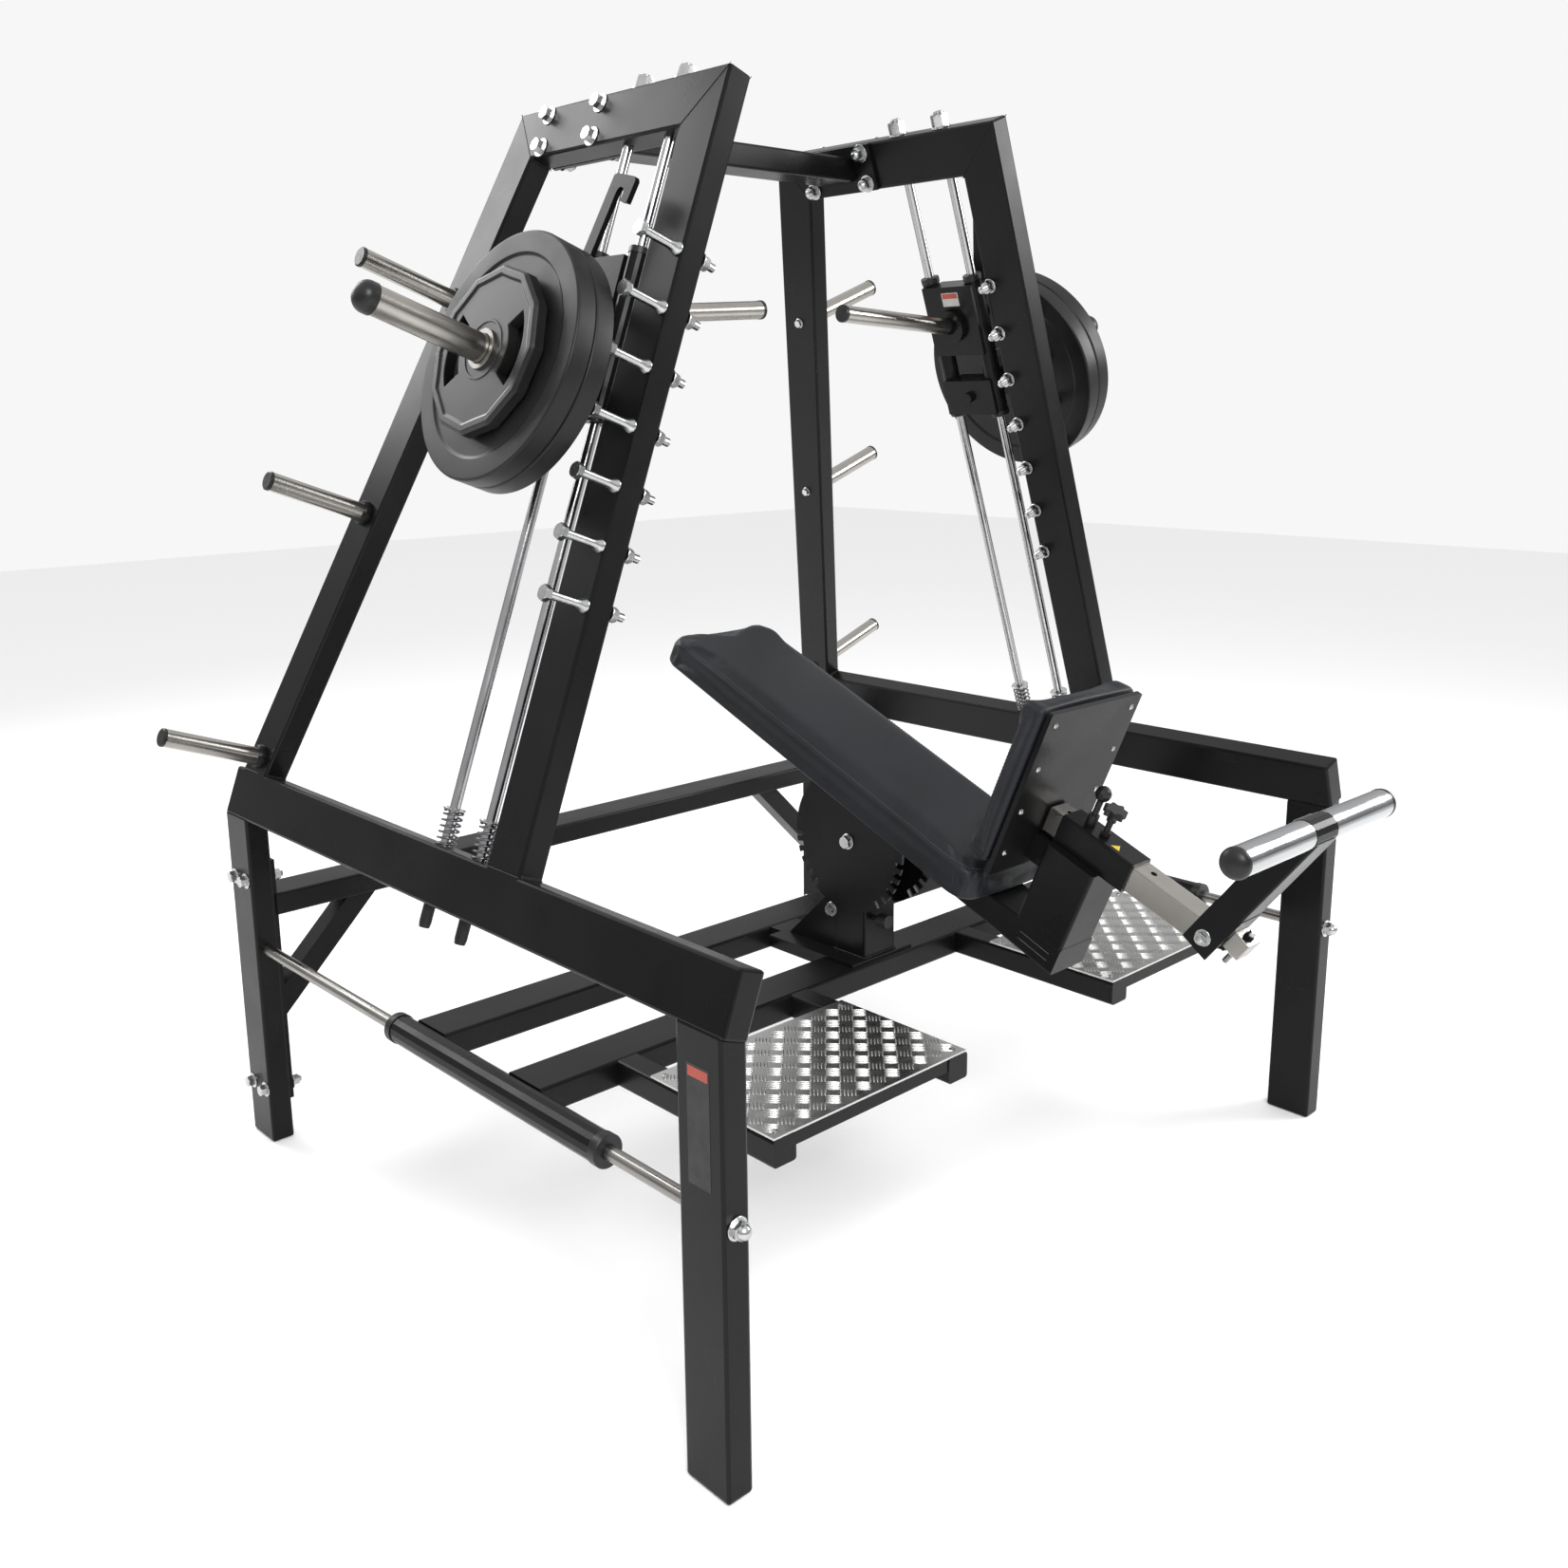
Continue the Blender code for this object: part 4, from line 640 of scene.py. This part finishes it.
disc_rubber = rubber("disc_rubber")
bush_steel = zinc("bush_steel", (0.26, 0.25, 0.23), 0.32)
DISC = 0.222
DISC_THICK = 0.038
PLATE_GAP = 0.0003
DISC_STEP = DISC_THICK + PLATE_GAP
BORE = LOAD + 0.0012
half_disc = [
    (0.0, BORE), (0.0, 0.060), (0.0008, 0.062), (0.0030, 0.064), (0.0034, 0.067), (0.0034, 0.176),
    (0.0030, 0.179), (0.0008, 0.182), (0.0, 0.184), (0.0, DISC - 0.0045), (0.0006, DISC - 0.0026),
    (0.0018, DISC - 0.0010), (0.0040, DISC),
]
for word in ("left", "right"):
    out = -planes[word][1]
    body = f"plates_{word}"
    centre = on_side(word, 0.0, LOAD_U, LOAD_V)
    for index in (1, 2):
        near = PLATES_OUT + PLATE_GAP + (index - 1) * DISC_STEP
        far = near + DISC_THICK
        profile = [(near + depth, radius) for depth, radius in half_disc]
        profile += [(far - depth, radius) for depth, radius in reversed(half_disc)]
        profile.append(profile[0])
        disc = turned(f"disc_{index}_{word}", centre, out, profile, disc_rubber, body, 96)
        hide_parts(f"weight_disc_{index}_{word}")
        bush = [(near - 0.0001, BORE), (near - 0.0001, BORE + 0.006), (far + 0.0001, BORE + 0.006),
                (far + 0.0001, BORE)]
        turned(f"disc_bush_{index}_{word}", centre, out, bush, bush_steel, body, 48)

# The grip plate has two long openings for the fingers, and a raised border along its twelve sides.
GRIP_PLATE = 0.150
GRIP_THICK = 0.028
GRIP_NEAR = PLATES_OUT + PLATE_GAP + 2 * DISC_STEP
RECESS = 0.0030
SLOT_INNER = 0.0712
SLOT_OUTER = 0.1128
SLOT_HALF = math.radians(35.0)
AROUND = 144


def grip_plate_mesh(word):
    out, up = -planes[word][1], planes[word][2]
    centre = on_side(word, 0.0, LOAD_U, LOAD_V)
    side = 2 * math.pi / 12
    shape = bmesh.new()
    rows = []
    for k in range(AROUND):
        angle = 2 * math.pi * k / AROUND
        edge = GRIP_PLATE * math.cos(side / 2) / math.cos((angle % side) - side / 2)
        section = (
            (BORE, RECESS), (0.0440, RECESS), (SLOT_INNER, RECESS), (SLOT_OUTER, RECESS),
            (edge - 0.0200, RECESS), (edge - 0.0165, 0.0), (edge - 0.0050, 0.0), (edge, 0.0050),
        )
        spoke = BACK * math.cos(angle) + up * math.sin(angle)
        front, back = (
            [shape.verts.new(centre + out * (base + way * deep) + spoke * radius) for radius, deep in section]
            for base, way in ((GRIP_NEAR + GRIP_THICK, -1), (GRIP_NEAR, 1))
        )
        middle = (angle + math.pi / AROUND + math.pi / 2) % math.pi - math.pi / 2
        rows.append((front, back, abs(middle) < SLOT_HALF))
    inner, outer, last = 2, 3, 7
    for k in range(AROUND):
        front, back, open_here = rows[k]
        next_front, next_back, open_next = rows[(k + 1) % AROUND]
        for j in range(last):
            if open_here and j == inner:
                continue
            shape.faces.new((front[j], next_front[j], next_front[j + 1], front[j + 1]))
            shape.faces.new((back[j], back[j + 1], next_back[j + 1], next_back[j]))
        shape.faces.new((front[last], next_front[last], next_back[last], back[last]))
        shape.faces.new((front[0], back[0], next_back[0], next_front[0]))
        if open_here:
            shape.faces.new((front[inner], next_front[inner], next_back[inner], back[inner]))
            shape.faces.new((front[outer], back[outer], next_back[outer], next_front[outer]))
        if open_here != open_next:
            shape.faces.new((next_front[inner], next_front[outer], next_back[outer], next_back[inner]))
    return shape


grip_rubber = rubber("grip_plate_rubber", 0.0080, 0.34)
face = GRIP_NEAR + GRIP_THICK + PLATE_GAP
grip_hub = [(face - 0.006, BORE), (face - 0.006, 0.036), (face + 0.0008, 0.036), (face + 0.0016, 0.035),
            (face + 0.0016, LOAD + 0.0025), (face + 0.0004, BORE)]
grip_ring = [(face - 0.008, 0.0480), (face - 0.0032, 0.0480), (face - 0.0018, 0.0490),
             (face - 0.0018, 0.0530), (face - 0.0032, 0.0540), (face - 0.008, 0.0540)]
for word in ("left", "right"):
    body = f"plates_{word}"
    plate = piece_from(f"grip_plate_body_{word}", grip_plate_mesh(word), grip_rubber, body, 28)
    soft = plate.modifiers.new("edges", "BEVEL")
    soft.width = 0.0012
    soft.segments = 3
    soft.limit_method = "ANGLE"
    soft.angle_limit = math.radians(28)
    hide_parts(f"grip_plate_{word}")
    out = -planes[word][1]
    centre = on_side(word, 0.0, LOAD_U, LOAD_V)
    turned(f"grip_hub_{word}", centre, out, grip_hub, bush_steel, body, 64)
    turned(f"grip_ring_{word}", centre, out, grip_ring, grip_rubber, body, 72)

# ---------------------------------------------------------------- tread plates
# Five-bar aluminium tread plate, screwed on the step frames: groups of raised lens-shaped bars,
# turned a quarter from one group to the next, on a thin mill-finish sheet.


def tread_aluminium(name):
    material, shader, tree = start_material(name, (0.78, 0.78, 0.77), 0.26, 1.0)
    cloud = noise(tree, 40.0, 6.0)
    ramp(tree, cloud, ((0.3, (0.50, 0.50, 0.49, 1.0)), (0.75, (0.58, 0.58, 0.57, 1.0))),
         shader.inputs["Base Color"])
    ramp(tree, cloud, ((0.3, grey(0.24)), (0.8, grey(0.32))), shader.inputs["Roughness"])
    roll = noise(tree, 6.0, 4.0, (1.0, 60.0, 1.0))
    tree.links.new(roll, bumped(tree, shader, 0.08, 0.0004))
    return material


def beads(size, places, along=6, around=8):
    """Many small rounded beads of one size, each set down at its own place and turn."""
    ball = [(0.0, 0.0, 1.0)]
    for i in range(1, along):
        polar = math.pi * i / along
        for k in range(around):
            turn = 2 * math.pi * k / around
            ball.append((math.sin(polar) * math.cos(turn), math.sin(polar) * math.sin(turn), math.cos(polar)))
    ball.append((0.0, 0.0, -1.0))
    end = len(ball) - 1
    faces = [(0, 1 + k, 1 + (k + 1) % around) for k in range(around)]
    for i in range(along - 2):
        low_ring, high_ring = 1 + i * around, 1 + (i + 1) * around
        for k in range(around):
            after = (k + 1) % around
            faces.append((low_ring + k, high_ring + k, high_ring + after, low_ring + after))
    ring = 1 + (along - 2) * around
    faces += [(end, ring + (k + 1) % around, ring + k) for k in range(around)]
    points, polygons = [], []
    for place in places:
        first = len(points)
        points += [place @ Vector((x * size[0], y * size[1], z * size[2])) for x, y, z in ball]
        polygons += [[first + corner for corner in face] for face in faces]
    mesh = bpy.data.meshes.new("beads")
    mesh.from_pydata(points, [], polygons)
    shape = bmesh.new()
    shape.from_mesh(mesh)
    bpy.data.meshes.remove(mesh)
    return shape


CELL = 0.036
BAR_PITCH = 0.0062
TREAD_BAR = (0.0018, 0.0135, 0.0018)
SCREW_IN = 0.018
tread_screw = [(0.0002, 0.0), (0.0002, 0.0062), (0.0016, 0.0056), (0.0024, 0.0036), (0.0024, 0.0020),
               (0.0012, 0.0018), (0.0012, 0.0)]
tread = tread_aluminium("tread_plate")
for word in ("left", "right"):
    dress(f"step_plate_{word}", tread)
    low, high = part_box(f"step_plate_{word}")
    columns, rows = int((high.x - low.x) / CELL), int((high.y - low.y) / CELL)
    start_x = (low.x + high.x - columns * CELL) / 2
    start_y = (low.y + high.y - rows * CELL) / 2
    spots = []
    for i in range(columns):
        for j in range(rows):
            turn = Matrix.Rotation(math.radians(45 + 90 * ((i + j) % 2)), 4, "Z")
            middle = Vector((start_x + (i + 0.5) * CELL, start_y + (j + 0.5) * CELL, high.z))
            for k in range(5):
                spots.append(
                    Matrix.Translation(middle) @ turn @ Matrix.Translation(((k - 2) * BAR_PITCH, 0, 0)))
    piece_from(f"tread_bars_{word}", beads(TREAD_BAR, spots), tread, "sled", 60)
    for x in (low.x + SCREW_IN, high.x - SCREW_IN):
        for y in (low.y + SCREW_IN, high.y - SCREW_IN):
            turned(f"tread_screw_{word}_{round(abs(x) * 1000)}_{round(abs(y) * 1000)}",
                   Vector((x, y, high.z)), Vector((0, 0, 1)), tread_screw, zinc_plate, "sled",
                   24)

# ---------------------------------------------------------------- upholstery
# Dense foam on a board, pulled into black vinyl and stapled underneath. The cover swells between its
# edges, and a stitched seam runs round the border of each pad.


def vinyl(name, shade=(0.0055, 0.0063, 0.0085)):
    material, shader, tree = start_material(name, shade, 0.44)
    shader.inputs["Specular IOR Level"].default_value = 0.30
    place = tree.nodes.new("ShaderNodeTexCoord")
    cells = tree.nodes.new("ShaderNodeTexVoronoi")
    cells.feature = "DISTANCE_TO_EDGE"
    cells.inputs["Scale"].default_value = 620.0
    tree.links.new(place.outputs["Object"], cells.inputs["Vector"])
    cloud = noise(tree, 6.0, 6.0)
    ramp(tree, cloud, ((0.3, tinted(shade, 0.8)), (0.8, tinted(shade, 1.9))), shader.inputs["Base Color"])
    ramp(tree, cloud, ((0.3, grey(0.36)), (0.8, grey(0.52))), shader.inputs["Roughness"])
    grain = bumped(tree, shader, 0.22, 0.0005)
    ramp(tree, cells.outputs["Distance"], ((0.0, grey(0.0)), (0.12, grey(1.0))), grain)
    return material


black_vinyl = vinyl("black_vinyl")
thread_material = moulded("seam_thread", 0.045, 0.62)


# The bench is drawn from its pivot: x across it, l along it and n square to it.
INCLINE = math.radians(22.5)
ACROSS = Vector((1.0, 0.0, 0.0))
ALONG = Vector((0.0, math.cos(INCLINE), math.sin(INCLINE)))
SQUARE = Vector((0.0, -math.sin(INCLINE), math.cos(INCLINE)))
BENCH_WAYS = (ACROSS, ALONG, SQUARE)
PIVOT = Vector(joints["bench_tilt"]["pos_m"])


def on_bench(x, l, n):
    return PIVOT + ACROSS * x + ALONG * l + SQUARE * n


def pad_cage(size, corner):
    """A rounded slab, as the foam is cut: straight sides and round plan corners."""
    shape = bmesh.new()
    bmesh.ops.create_cube(shape, size=1.0)
    bmesh.ops.scale(shape, vec=[part - 0.008 for part in size], verts=shape.verts)
    tall = [e for e in shape.edges if abs((e.verts[0].co - e.verts[1].co).normalized().z) > 0.9]
    bmesh.ops.bevel(shape, geom=tall, offset=corner, segments=8, profile=0.5, affect="EDGES")
    flat = [e for e in shape.edges if len(e.link_faces) == 2 and e.calc_face_angle(0) > 0.9]
    bmesh.ops.bevel(shape, geom=flat, offset=min(0.012, size[2] * 0.3), segments=3, profile=0.5,
                    affect="EDGES")
    return shape


def upholstered(name, node, x, l0, l1, n0, n1, corner, swell, on_board):
    turn = Matrix(BENCH_WAYS).transposed().to_4x4()
    turn.translation = on_bench(0.0, (l0 + l1) / 2, (n0 + n1) / 2)
    shape = pad_cage((2 * x, l1 - l0, n1 - n0), corner)
    mesh = bpy.data.meshes.new(name)
    shape.to_mesh(mesh)
    shape.free()
    item = bpy.data.objects.new(name, mesh)
    bpy.context.scene.collection.objects.link(item)
    bpy.context.view_layer.objects.active = item
    remesh = item.modifiers.new("remesh", "REMESH")
    remesh.mode = "VOXEL"
    remesh.voxel_size = 0.0065
    bpy.context.view_layer.update()
    dense = shown(item)
    item.modifiers.clear()
    item.data = dense
    rest = [v.co.copy() for v in dense.vertices]
    group = item.vertex_groups.new(name="board")
    for v in dense.vertices:
        group.add([v.index], 1.0 if on_board(v.co) else 0.0, "REPLACE")
    cloth = item.modifiers.new("cover", "CLOTH")
    cloth.settings.quality = 6
    cloth.settings.mass = 0.4
    cloth.settings.tension_stiffness = 22
    cloth.settings.compression_stiffness = 22
    cloth.settings.shear_stiffness = 10
    cloth.settings.bending_stiffness = 1.5
    cloth.settings.use_pressure = True
    cloth.settings.uniform_pressure_force = 4.0
    cloth.settings.vertex_group_mass = "board"
    cloth.settings.effector_weights.gravity = 0.0
    cloth.collision_settings.use_collision = False
    for step in range(1, 21):
        bpy.context.scene.frame_set(step)
    swollen = shown(item)
    item.modifiers.clear()
    bpy.context.scene.frame_set(1)
    for v, old in zip(swollen.vertices, rest):
        move = v.co - old
        if move.length > swell:
            v.co = old + move.normalized() * swell
    item.data = swollen
    item.data.transform(turn)
    item.data.shade_smooth()
    item.data.materials.clear()
    item.data.materials.append(black_vinyl)
    fine = item.modifiers.new("smooth", "SUBSURF")
    fine.levels = 1
    fine.render_levels = 1
    item.vertex_groups.clear()
    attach(item, "bench")
    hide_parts(node)
    return item


def stitched(name, cushion, reach, low, high, corner, spot_at, inward):
    """A row of stitches just inside a pad's border, each laid on the swollen cover below it."""
    bpy.context.view_layer.update()
    cover = BVHTree.FromObject(cushion, bpy.context.evaluated_depsgraph_get())
    path = []
    for a, b, first in (
        (reach - corner, high - corner, 0), (corner - reach, high - corner, 90),
        (corner - reach, low + corner, 180), (reach - corner, low + corner, 270),
    ):
        for k in range(9):
            turn = math.radians(first + 90 * k / 8)
            path.append(Vector((a + corner * math.cos(turn), b + corner * math.sin(turn))))
    path.append(path[0])
    places = []
    for start, end in zip(path, path[1:]):
        steps = max(1, round((end - start).length / STITCH_PITCH))
        for k in range(steps):
            here = start.lerp(end, (k + 0.2) / steps)
            there = start.lerp(end, (k + 0.8) / steps)
            ends = [cover.ray_cast(spot_at(*point) - inward * 0.08, inward)[0] for point in (here, there)]
            if None in ends:
                continue
            turn = (ends[1] - ends[0]).to_track_quat("X", "Z").to_matrix().to_4x4()
            turn.translation = (ends[0] + ends[1]) / 2
            places.append(turn)
    piece_from(name, beads(STITCH, places), thread_material, "bench", 60)


PAD_BASE = 0.1203
PAD_TOP = 0.1903
SEAT_FACE = -0.312
STITCH = (0.0027, 0.0009, 0.0009)
STITCH_PITCH = 0.0075
back_cushion = upholstered("back_cushion", "back_pad", 0.150, -0.365, 0.580, PAD_BASE, PAD_TOP, 0.045, 0.010,
                           lambda co: co.z < -0.024)
seat_cushion = upholstered("seat_cushion", "seat_pad", 0.145, -0.3717, SEAT_FACE, 0.220, 0.555, 0.012, 0.009,
                           lambda co: co.y < -0.020)
stitched("back_stitching", back_cushion, 0.128, -0.343, 0.558, 0.034,
         lambda x, l: on_bench(x, l, PAD_TOP), -SQUARE)
stitched("seat_stitching", seat_cushion, 0.127, 0.238, 0.537, 0.016,
         lambda x, n: on_bench(x, SEAT_FACE, n), -ALONG)

# ---------------------------------------------------------------- foot tube and its clamps
# A brushed stainless square tube slides in the black sleeve, with a black plug in its open end. A
# ball-ended spring pin drops into its holes, and a lobed knob screws down to take out the play.
TUBE_N = 0.312
TUBE_PLUG = (0.0500, 0.0040, 0.0500)
dress("foot_tube", stainless)
for node in ("bench_lock_pin", "foot_pop_pin", "star_knob"):
    dress(node, black_plastic)


def slab(name, centre, ways, size, corner, material, body):
    """A flat or square-edged piece with rounded edges, set along three ways."""
    shape = bmesh.new()
    bmesh.ops.create_cube(shape, size=1.0)
    bmesh.ops.scale(shape, vec=size, verts=shape.verts)
    bmesh.ops.bevel(shape, geom=shape.edges[:], offset=corner, segments=3, profile=0.5, affect="EDGES")
    turn = Matrix(ways).transposed().to_4x4()
    turn.translation = centre
    shape.transform(turn)
    piece_from(name, shape, material, body)


slab("tube_plug", on_bench(0, -0.3862, TUBE_N), BENCH_WAYS, TUBE_PLUG, 0.0012, black_plastic,
     "foot_tube")

# ---------------------------------------------------------------- foot bar
# Two polished chrome tubes turn on the bar either side of the black welded boss. A domed black cap
# closes each end of the bar.
ROLLER = 0.025
ROLLER_BORE = 0.016
ROLLER_EDGE = 0.0008
BAR_CAP = ROLLER + 0.0006
roller_chrome = chrome("roller_chrome", (0.42, 0.43, 0.44), 0.13)
bar_middle = Vector((0, *joints["foot_roller_left_spin"]["pos_m"][1:]))
for word, sign in SIDES:
    low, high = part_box(f"foot_roller_{word}")
    near, far = sorted((abs(low.x), abs(high.x)))
    way = Vector((sign, 0, 0))
    roller = [
        (near, ROLLER_BORE), (near, ROLLER - ROLLER_EDGE), (near + ROLLER_EDGE, ROLLER),
        (far - ROLLER_EDGE, ROLLER), (far, ROLLER - ROLLER_EDGE), (far, ROLLER_BORE), (near, ROLLER_BORE),
    ]
    tube = turned(f"roller_{word}", bar_middle, way, roller, roller_chrome, f"foot_roller_{word}",
                  64)
    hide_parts(f"foot_roller_{word}")
    cap = [(far + 0.0002, 0.0), (far + 0.0002, BAR_CAP), (far + 0.004, BAR_CAP)]
    cap += domed(far + 0.004, 0.0170, BAR_CAP, 7)
    turned(f"bar_cap_{word}", bar_middle, way, cap, black_plastic, "foot_arm", 48)

# ---------------------------------------------------------------- bench bolts and screws
# Zinc bolts hold the bench on its pivot and the post on the sled; button-head screws hold the seat
# board. Thin bright steel strips along the edges of a plain slot in the end box are a painted edge highlight.
seat_screw = [(0.0001, 0.0), (0.0001, 0.0058), (0.0012, 0.0056), (0.0026, 0.0040), (0.0031, 0.0026),
              (0.0016, 0.0022), (0.0016, 0.0)]
for x in (-0.113, 0.113):
    for n in (0.255, 0.345, 0.435, 0.525):
        turned(f"seat_screw_{'l' if x < 0 else 'r'}_{round(n * 1000)}", on_bench(x, -0.3820, n), -ALONG,
               seat_screw, zinc_plate, "bench", 24)
for word, sign in SIDES:
    way = Vector((sign, 0, 0))
    washer(f"pivot_washer_{word}", PIVOT + way * 0.0527, way, 0.0165, 0.0085, 0.0020, "bench")
    hexagon(f"pivot_head_{word}", PIVOT + way * 0.0545, way, 0.0240, 0.0096, "bench")
    low_bolt = PIVOT + Vector((sign * 0.0452, 0.053, -0.161))
    washer(f"post_washer_{word}", low_bolt, way, 0.0155, 0.0080, 0.0022, "sled")
    hexagon(f"post_bolt_{word}", low_bolt + way * 0.0020, way, 0.0200, 0.0090, "sled")
    # Painted edge highlight: a thin bright steel strip laid along each edge of the slot.
    for n in (0.083, 0.098):
        slab(f"slot_edge_highlight_{word}_{round(n * 1000)}", on_bench(sign * 0.0498, -0.474, n), BENCH_WAYS,
             (0.0010, 0.072, 0.0012), 0.0004, bush_steel, "bench")

# ---------------------------------------------------------------- foot arm fittings
# A zinc bolt is the arm's hinge. The small stainless block in front carries the stop bolt.
ARM_ROOT = on_bench(0.0, -0.745, TUBE_N)
ARM_TILT = INCLINE + math.radians(15.0)
ARM_BACK = Vector((0.0, math.cos(ARM_TILT), math.sin(ARM_TILT)))
ARM_UP = Vector((0.0, -math.sin(ARM_TILT), math.cos(ARM_TILT)))
ARM_HALF = 0.0323
for word, sign in SIDES:
    way = Vector((sign, 0, 0))
    cheek = ARM_ROOT + way * ARM_HALF
    washer(f"arm_washer_{word}", cheek + way * 0.0002, way, 0.0150, 0.0062, 0.0018, "foot_arm")
    hexagon(f"arm_nut_{word}", cheek + way * 0.0018, way, 0.0205, 0.0090, "foot_arm")
    thread(f"arm_thread_{word}", cheek + way * 0.0100, way, 0.0064, 0.0030, "foot_arm")
slab("stop_block", ARM_ROOT - ARM_BACK * 0.0447 + ARM_UP * 0.028, (ACROSS, ARM_BACK, ARM_UP),
     (0.0374, 0.0350, 0.0374), 0.0022, stainless, "foot_arm")
stop_line = ARM_ROOT - ARM_BACK * 0.0455
turned("stop_rod", stop_line + ARM_UP * 0.0460, ARM_UP,
       [(0.0, 0.0058), (0.0005, 0.0062), (0.0155, 0.0062), (0.0165, 0.0052), (0.0165, 0.0)],
       zinc_plate, "foot_arm", 28)
hexagon("stop_nut", stop_line + ARM_UP * 0.0094, -ARM_UP, 0.0165, 0.0080, "foot_arm")
thread("stop_thread", stop_line + ARM_UP * 0.0020, -ARM_UP, 0.0054, 0.0225, "foot_arm")

# ---------------------------------------------------------------- welds
# The tubes are welded all round. On the outer faces the seams are ground flat to a fine line under
# the paint; the inner corners keep a rippled bead.


def seam(name, start, end, size, pitch, body):
    turn = (end - start).normalized().to_track_quat("X", "Z").to_matrix().to_4x4()
    count = max(2, round((end - start).length / pitch))
    places = []
    for k in range(count + 1):
        here = turn.copy()
        here.translation = start.lerp(end, k / count)
        places.append(here)
    piece_from(name, beads(size, places, 5), frame_coat, body, 60)


BEAD = (0.0030, 0.0036, 0.0036)
BEAD_PITCH = 0.0032
GROUND = (0.0040, 0.0011, 0.0005)
GROUND_PITCH = 0.0036
LEG_U = -0.1525
UNDER_V = BEAM_TOP_V + 0.0005
for word in ("left", "right"):
    low_u = rear_u(BEAM_TOP_V)
    corners = (
        (LEG_U, BEAM_TOP_V), (LEG_U - 0.100, BEAM_TOP_V), (low_u, BEAM_TOP_V), (low_u + 0.1047, BEAM_TOP_V),
        (LEG_U, REAR_TOP_V), (rear_u(REAR_TOP_V), REAR_TOP_V),
    )
    for index, (u, v) in enumerate(corners, 1):
        seam(f"corner_weld_{word}_{index}", on_side(word, 0.005, u, v), on_side(word, 0.045, u, v),
             BEAD, BEAD_PITCH, "base")
    lines = (
        ((LEG_U, REAR_TOP_V), (-0.2500, 1.5220)),
        ((rear_u(REAR_TOP_V), REAR_TOP_V), (rear_u(1.5220) + 0.1030, 1.5220)),
        ((-0.2500, UNDER_V), (-0.1550, UNDER_V)),
        ((rear_u(UNDER_V) + 0.003, UNDER_V), (rear_u(UNDER_V) + 0.101, UNDER_V)),
    )
    for index, (first, last) in enumerate(lines, 1):
        for face, t in (("out", 0.0), ("in", TUBE)):
            seam(f"seam_{word}_{face}_{index}", on_side(word, t, *first), on_side(word, t, *last),
                 GROUND, GROUND_PITCH, "base")
POST_HALF = 0.043
plate_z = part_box("pedestal")[0].z + 0.006
for name, first, last in (
    ("post_weld_left", (-0.046, -POST_HALF), (-0.046, POST_HALF)),
    ("post_weld_right", (0.046, -POST_HALF), (0.046, POST_HALF)),
    ("post_weld_front", (-0.044, -POST_HALF), (0.044, -POST_HALF)),
):
    ends = [Vector((x, PIVOT.y + y, plate_z)) for x, y in (first, last)]
    seam(name, *ends, BEAD, BEAD_PITCH, "sled")

# ---------------------------------------------------------------- stickers
# Blank vinyl stickers, a coloured band over a plain field, on the front leg and on one carriage,
# with a plain yellow three-cornered one on the foot sleeve.


def sticker(name, colour, rough=0.42):
    material, shader, tree = start_material(name, colour, rough)
    cloud = noise(tree, 45.0, 4.0)
    ramp(tree, cloud, ((0.3, tinted(colour, 0.85)), (0.8, tinted(colour, 1.12))), shader.inputs["Base Color"])
    ramp(tree, cloud, ((0.3, grey(rough * 0.85)), (0.8, grey(rough * 1.2))), shader.inputs["Roughness"])
    tree.links.new(cloud, bumped(tree, shader, 0.05, 0.0002))
    return material


sticker_dark = sticker("sticker_dark", (0.0105, 0.0105, 0.011), 0.55)
sticker_red = sticker("sticker_red", (0.36, 0.045, 0.025))
sticker_pale = sticker("sticker_pale", (0.42, 0.42, 0.40))
sticker_yellow = sticker("sticker_yellow", (0.62, 0.44, 0.03))
upright_ways = (Vector((0, 1, 0)), Vector((0, 0, 1)), Vector((1, 0, 0)))
leg_spot = Vector((leg_low.x - 0.0002, leg_low.y + 0.056, 0.600))
slab("leg_sticker", leg_spot, upright_ways, (0.050, 0.190, 0.0006), 0.0002, sticker_dark, "base")
slab("leg_sticker_band", leg_spot + Vector((-0.0004, 0, 0.083)), upright_ways, (0.044, 0.016, 0.0005), 0.0002,
     sticker_red, "base")
inwards, up = planes["right"][1:]
bridge_ways = (BACK, up, inwards)
slab("carriage_sticker", on_side("right", 0.0534, -0.050, 1.172), bridge_ways, (0.046, 0.030, 0.0006), 0.0002,
     sticker_pale, "carriage_right")
slab("carriage_sticker_band", on_side("right", 0.0538, -0.050, 1.180), bridge_ways, (0.042, 0.011, 0.0006),
     0.0002, sticker_red, "carriage_right")
yellow_label = [(0.0, 0.0), (0.0, 0.0105), (0.0003, 0.0110), (0.0006, 0.0105), (0.0006, 0.0)]
turned("sleeve_sticker", on_bench(-0.012, -0.528, 0.3421), SQUARE, yellow_label, sticker_yellow, "bench",
       3)
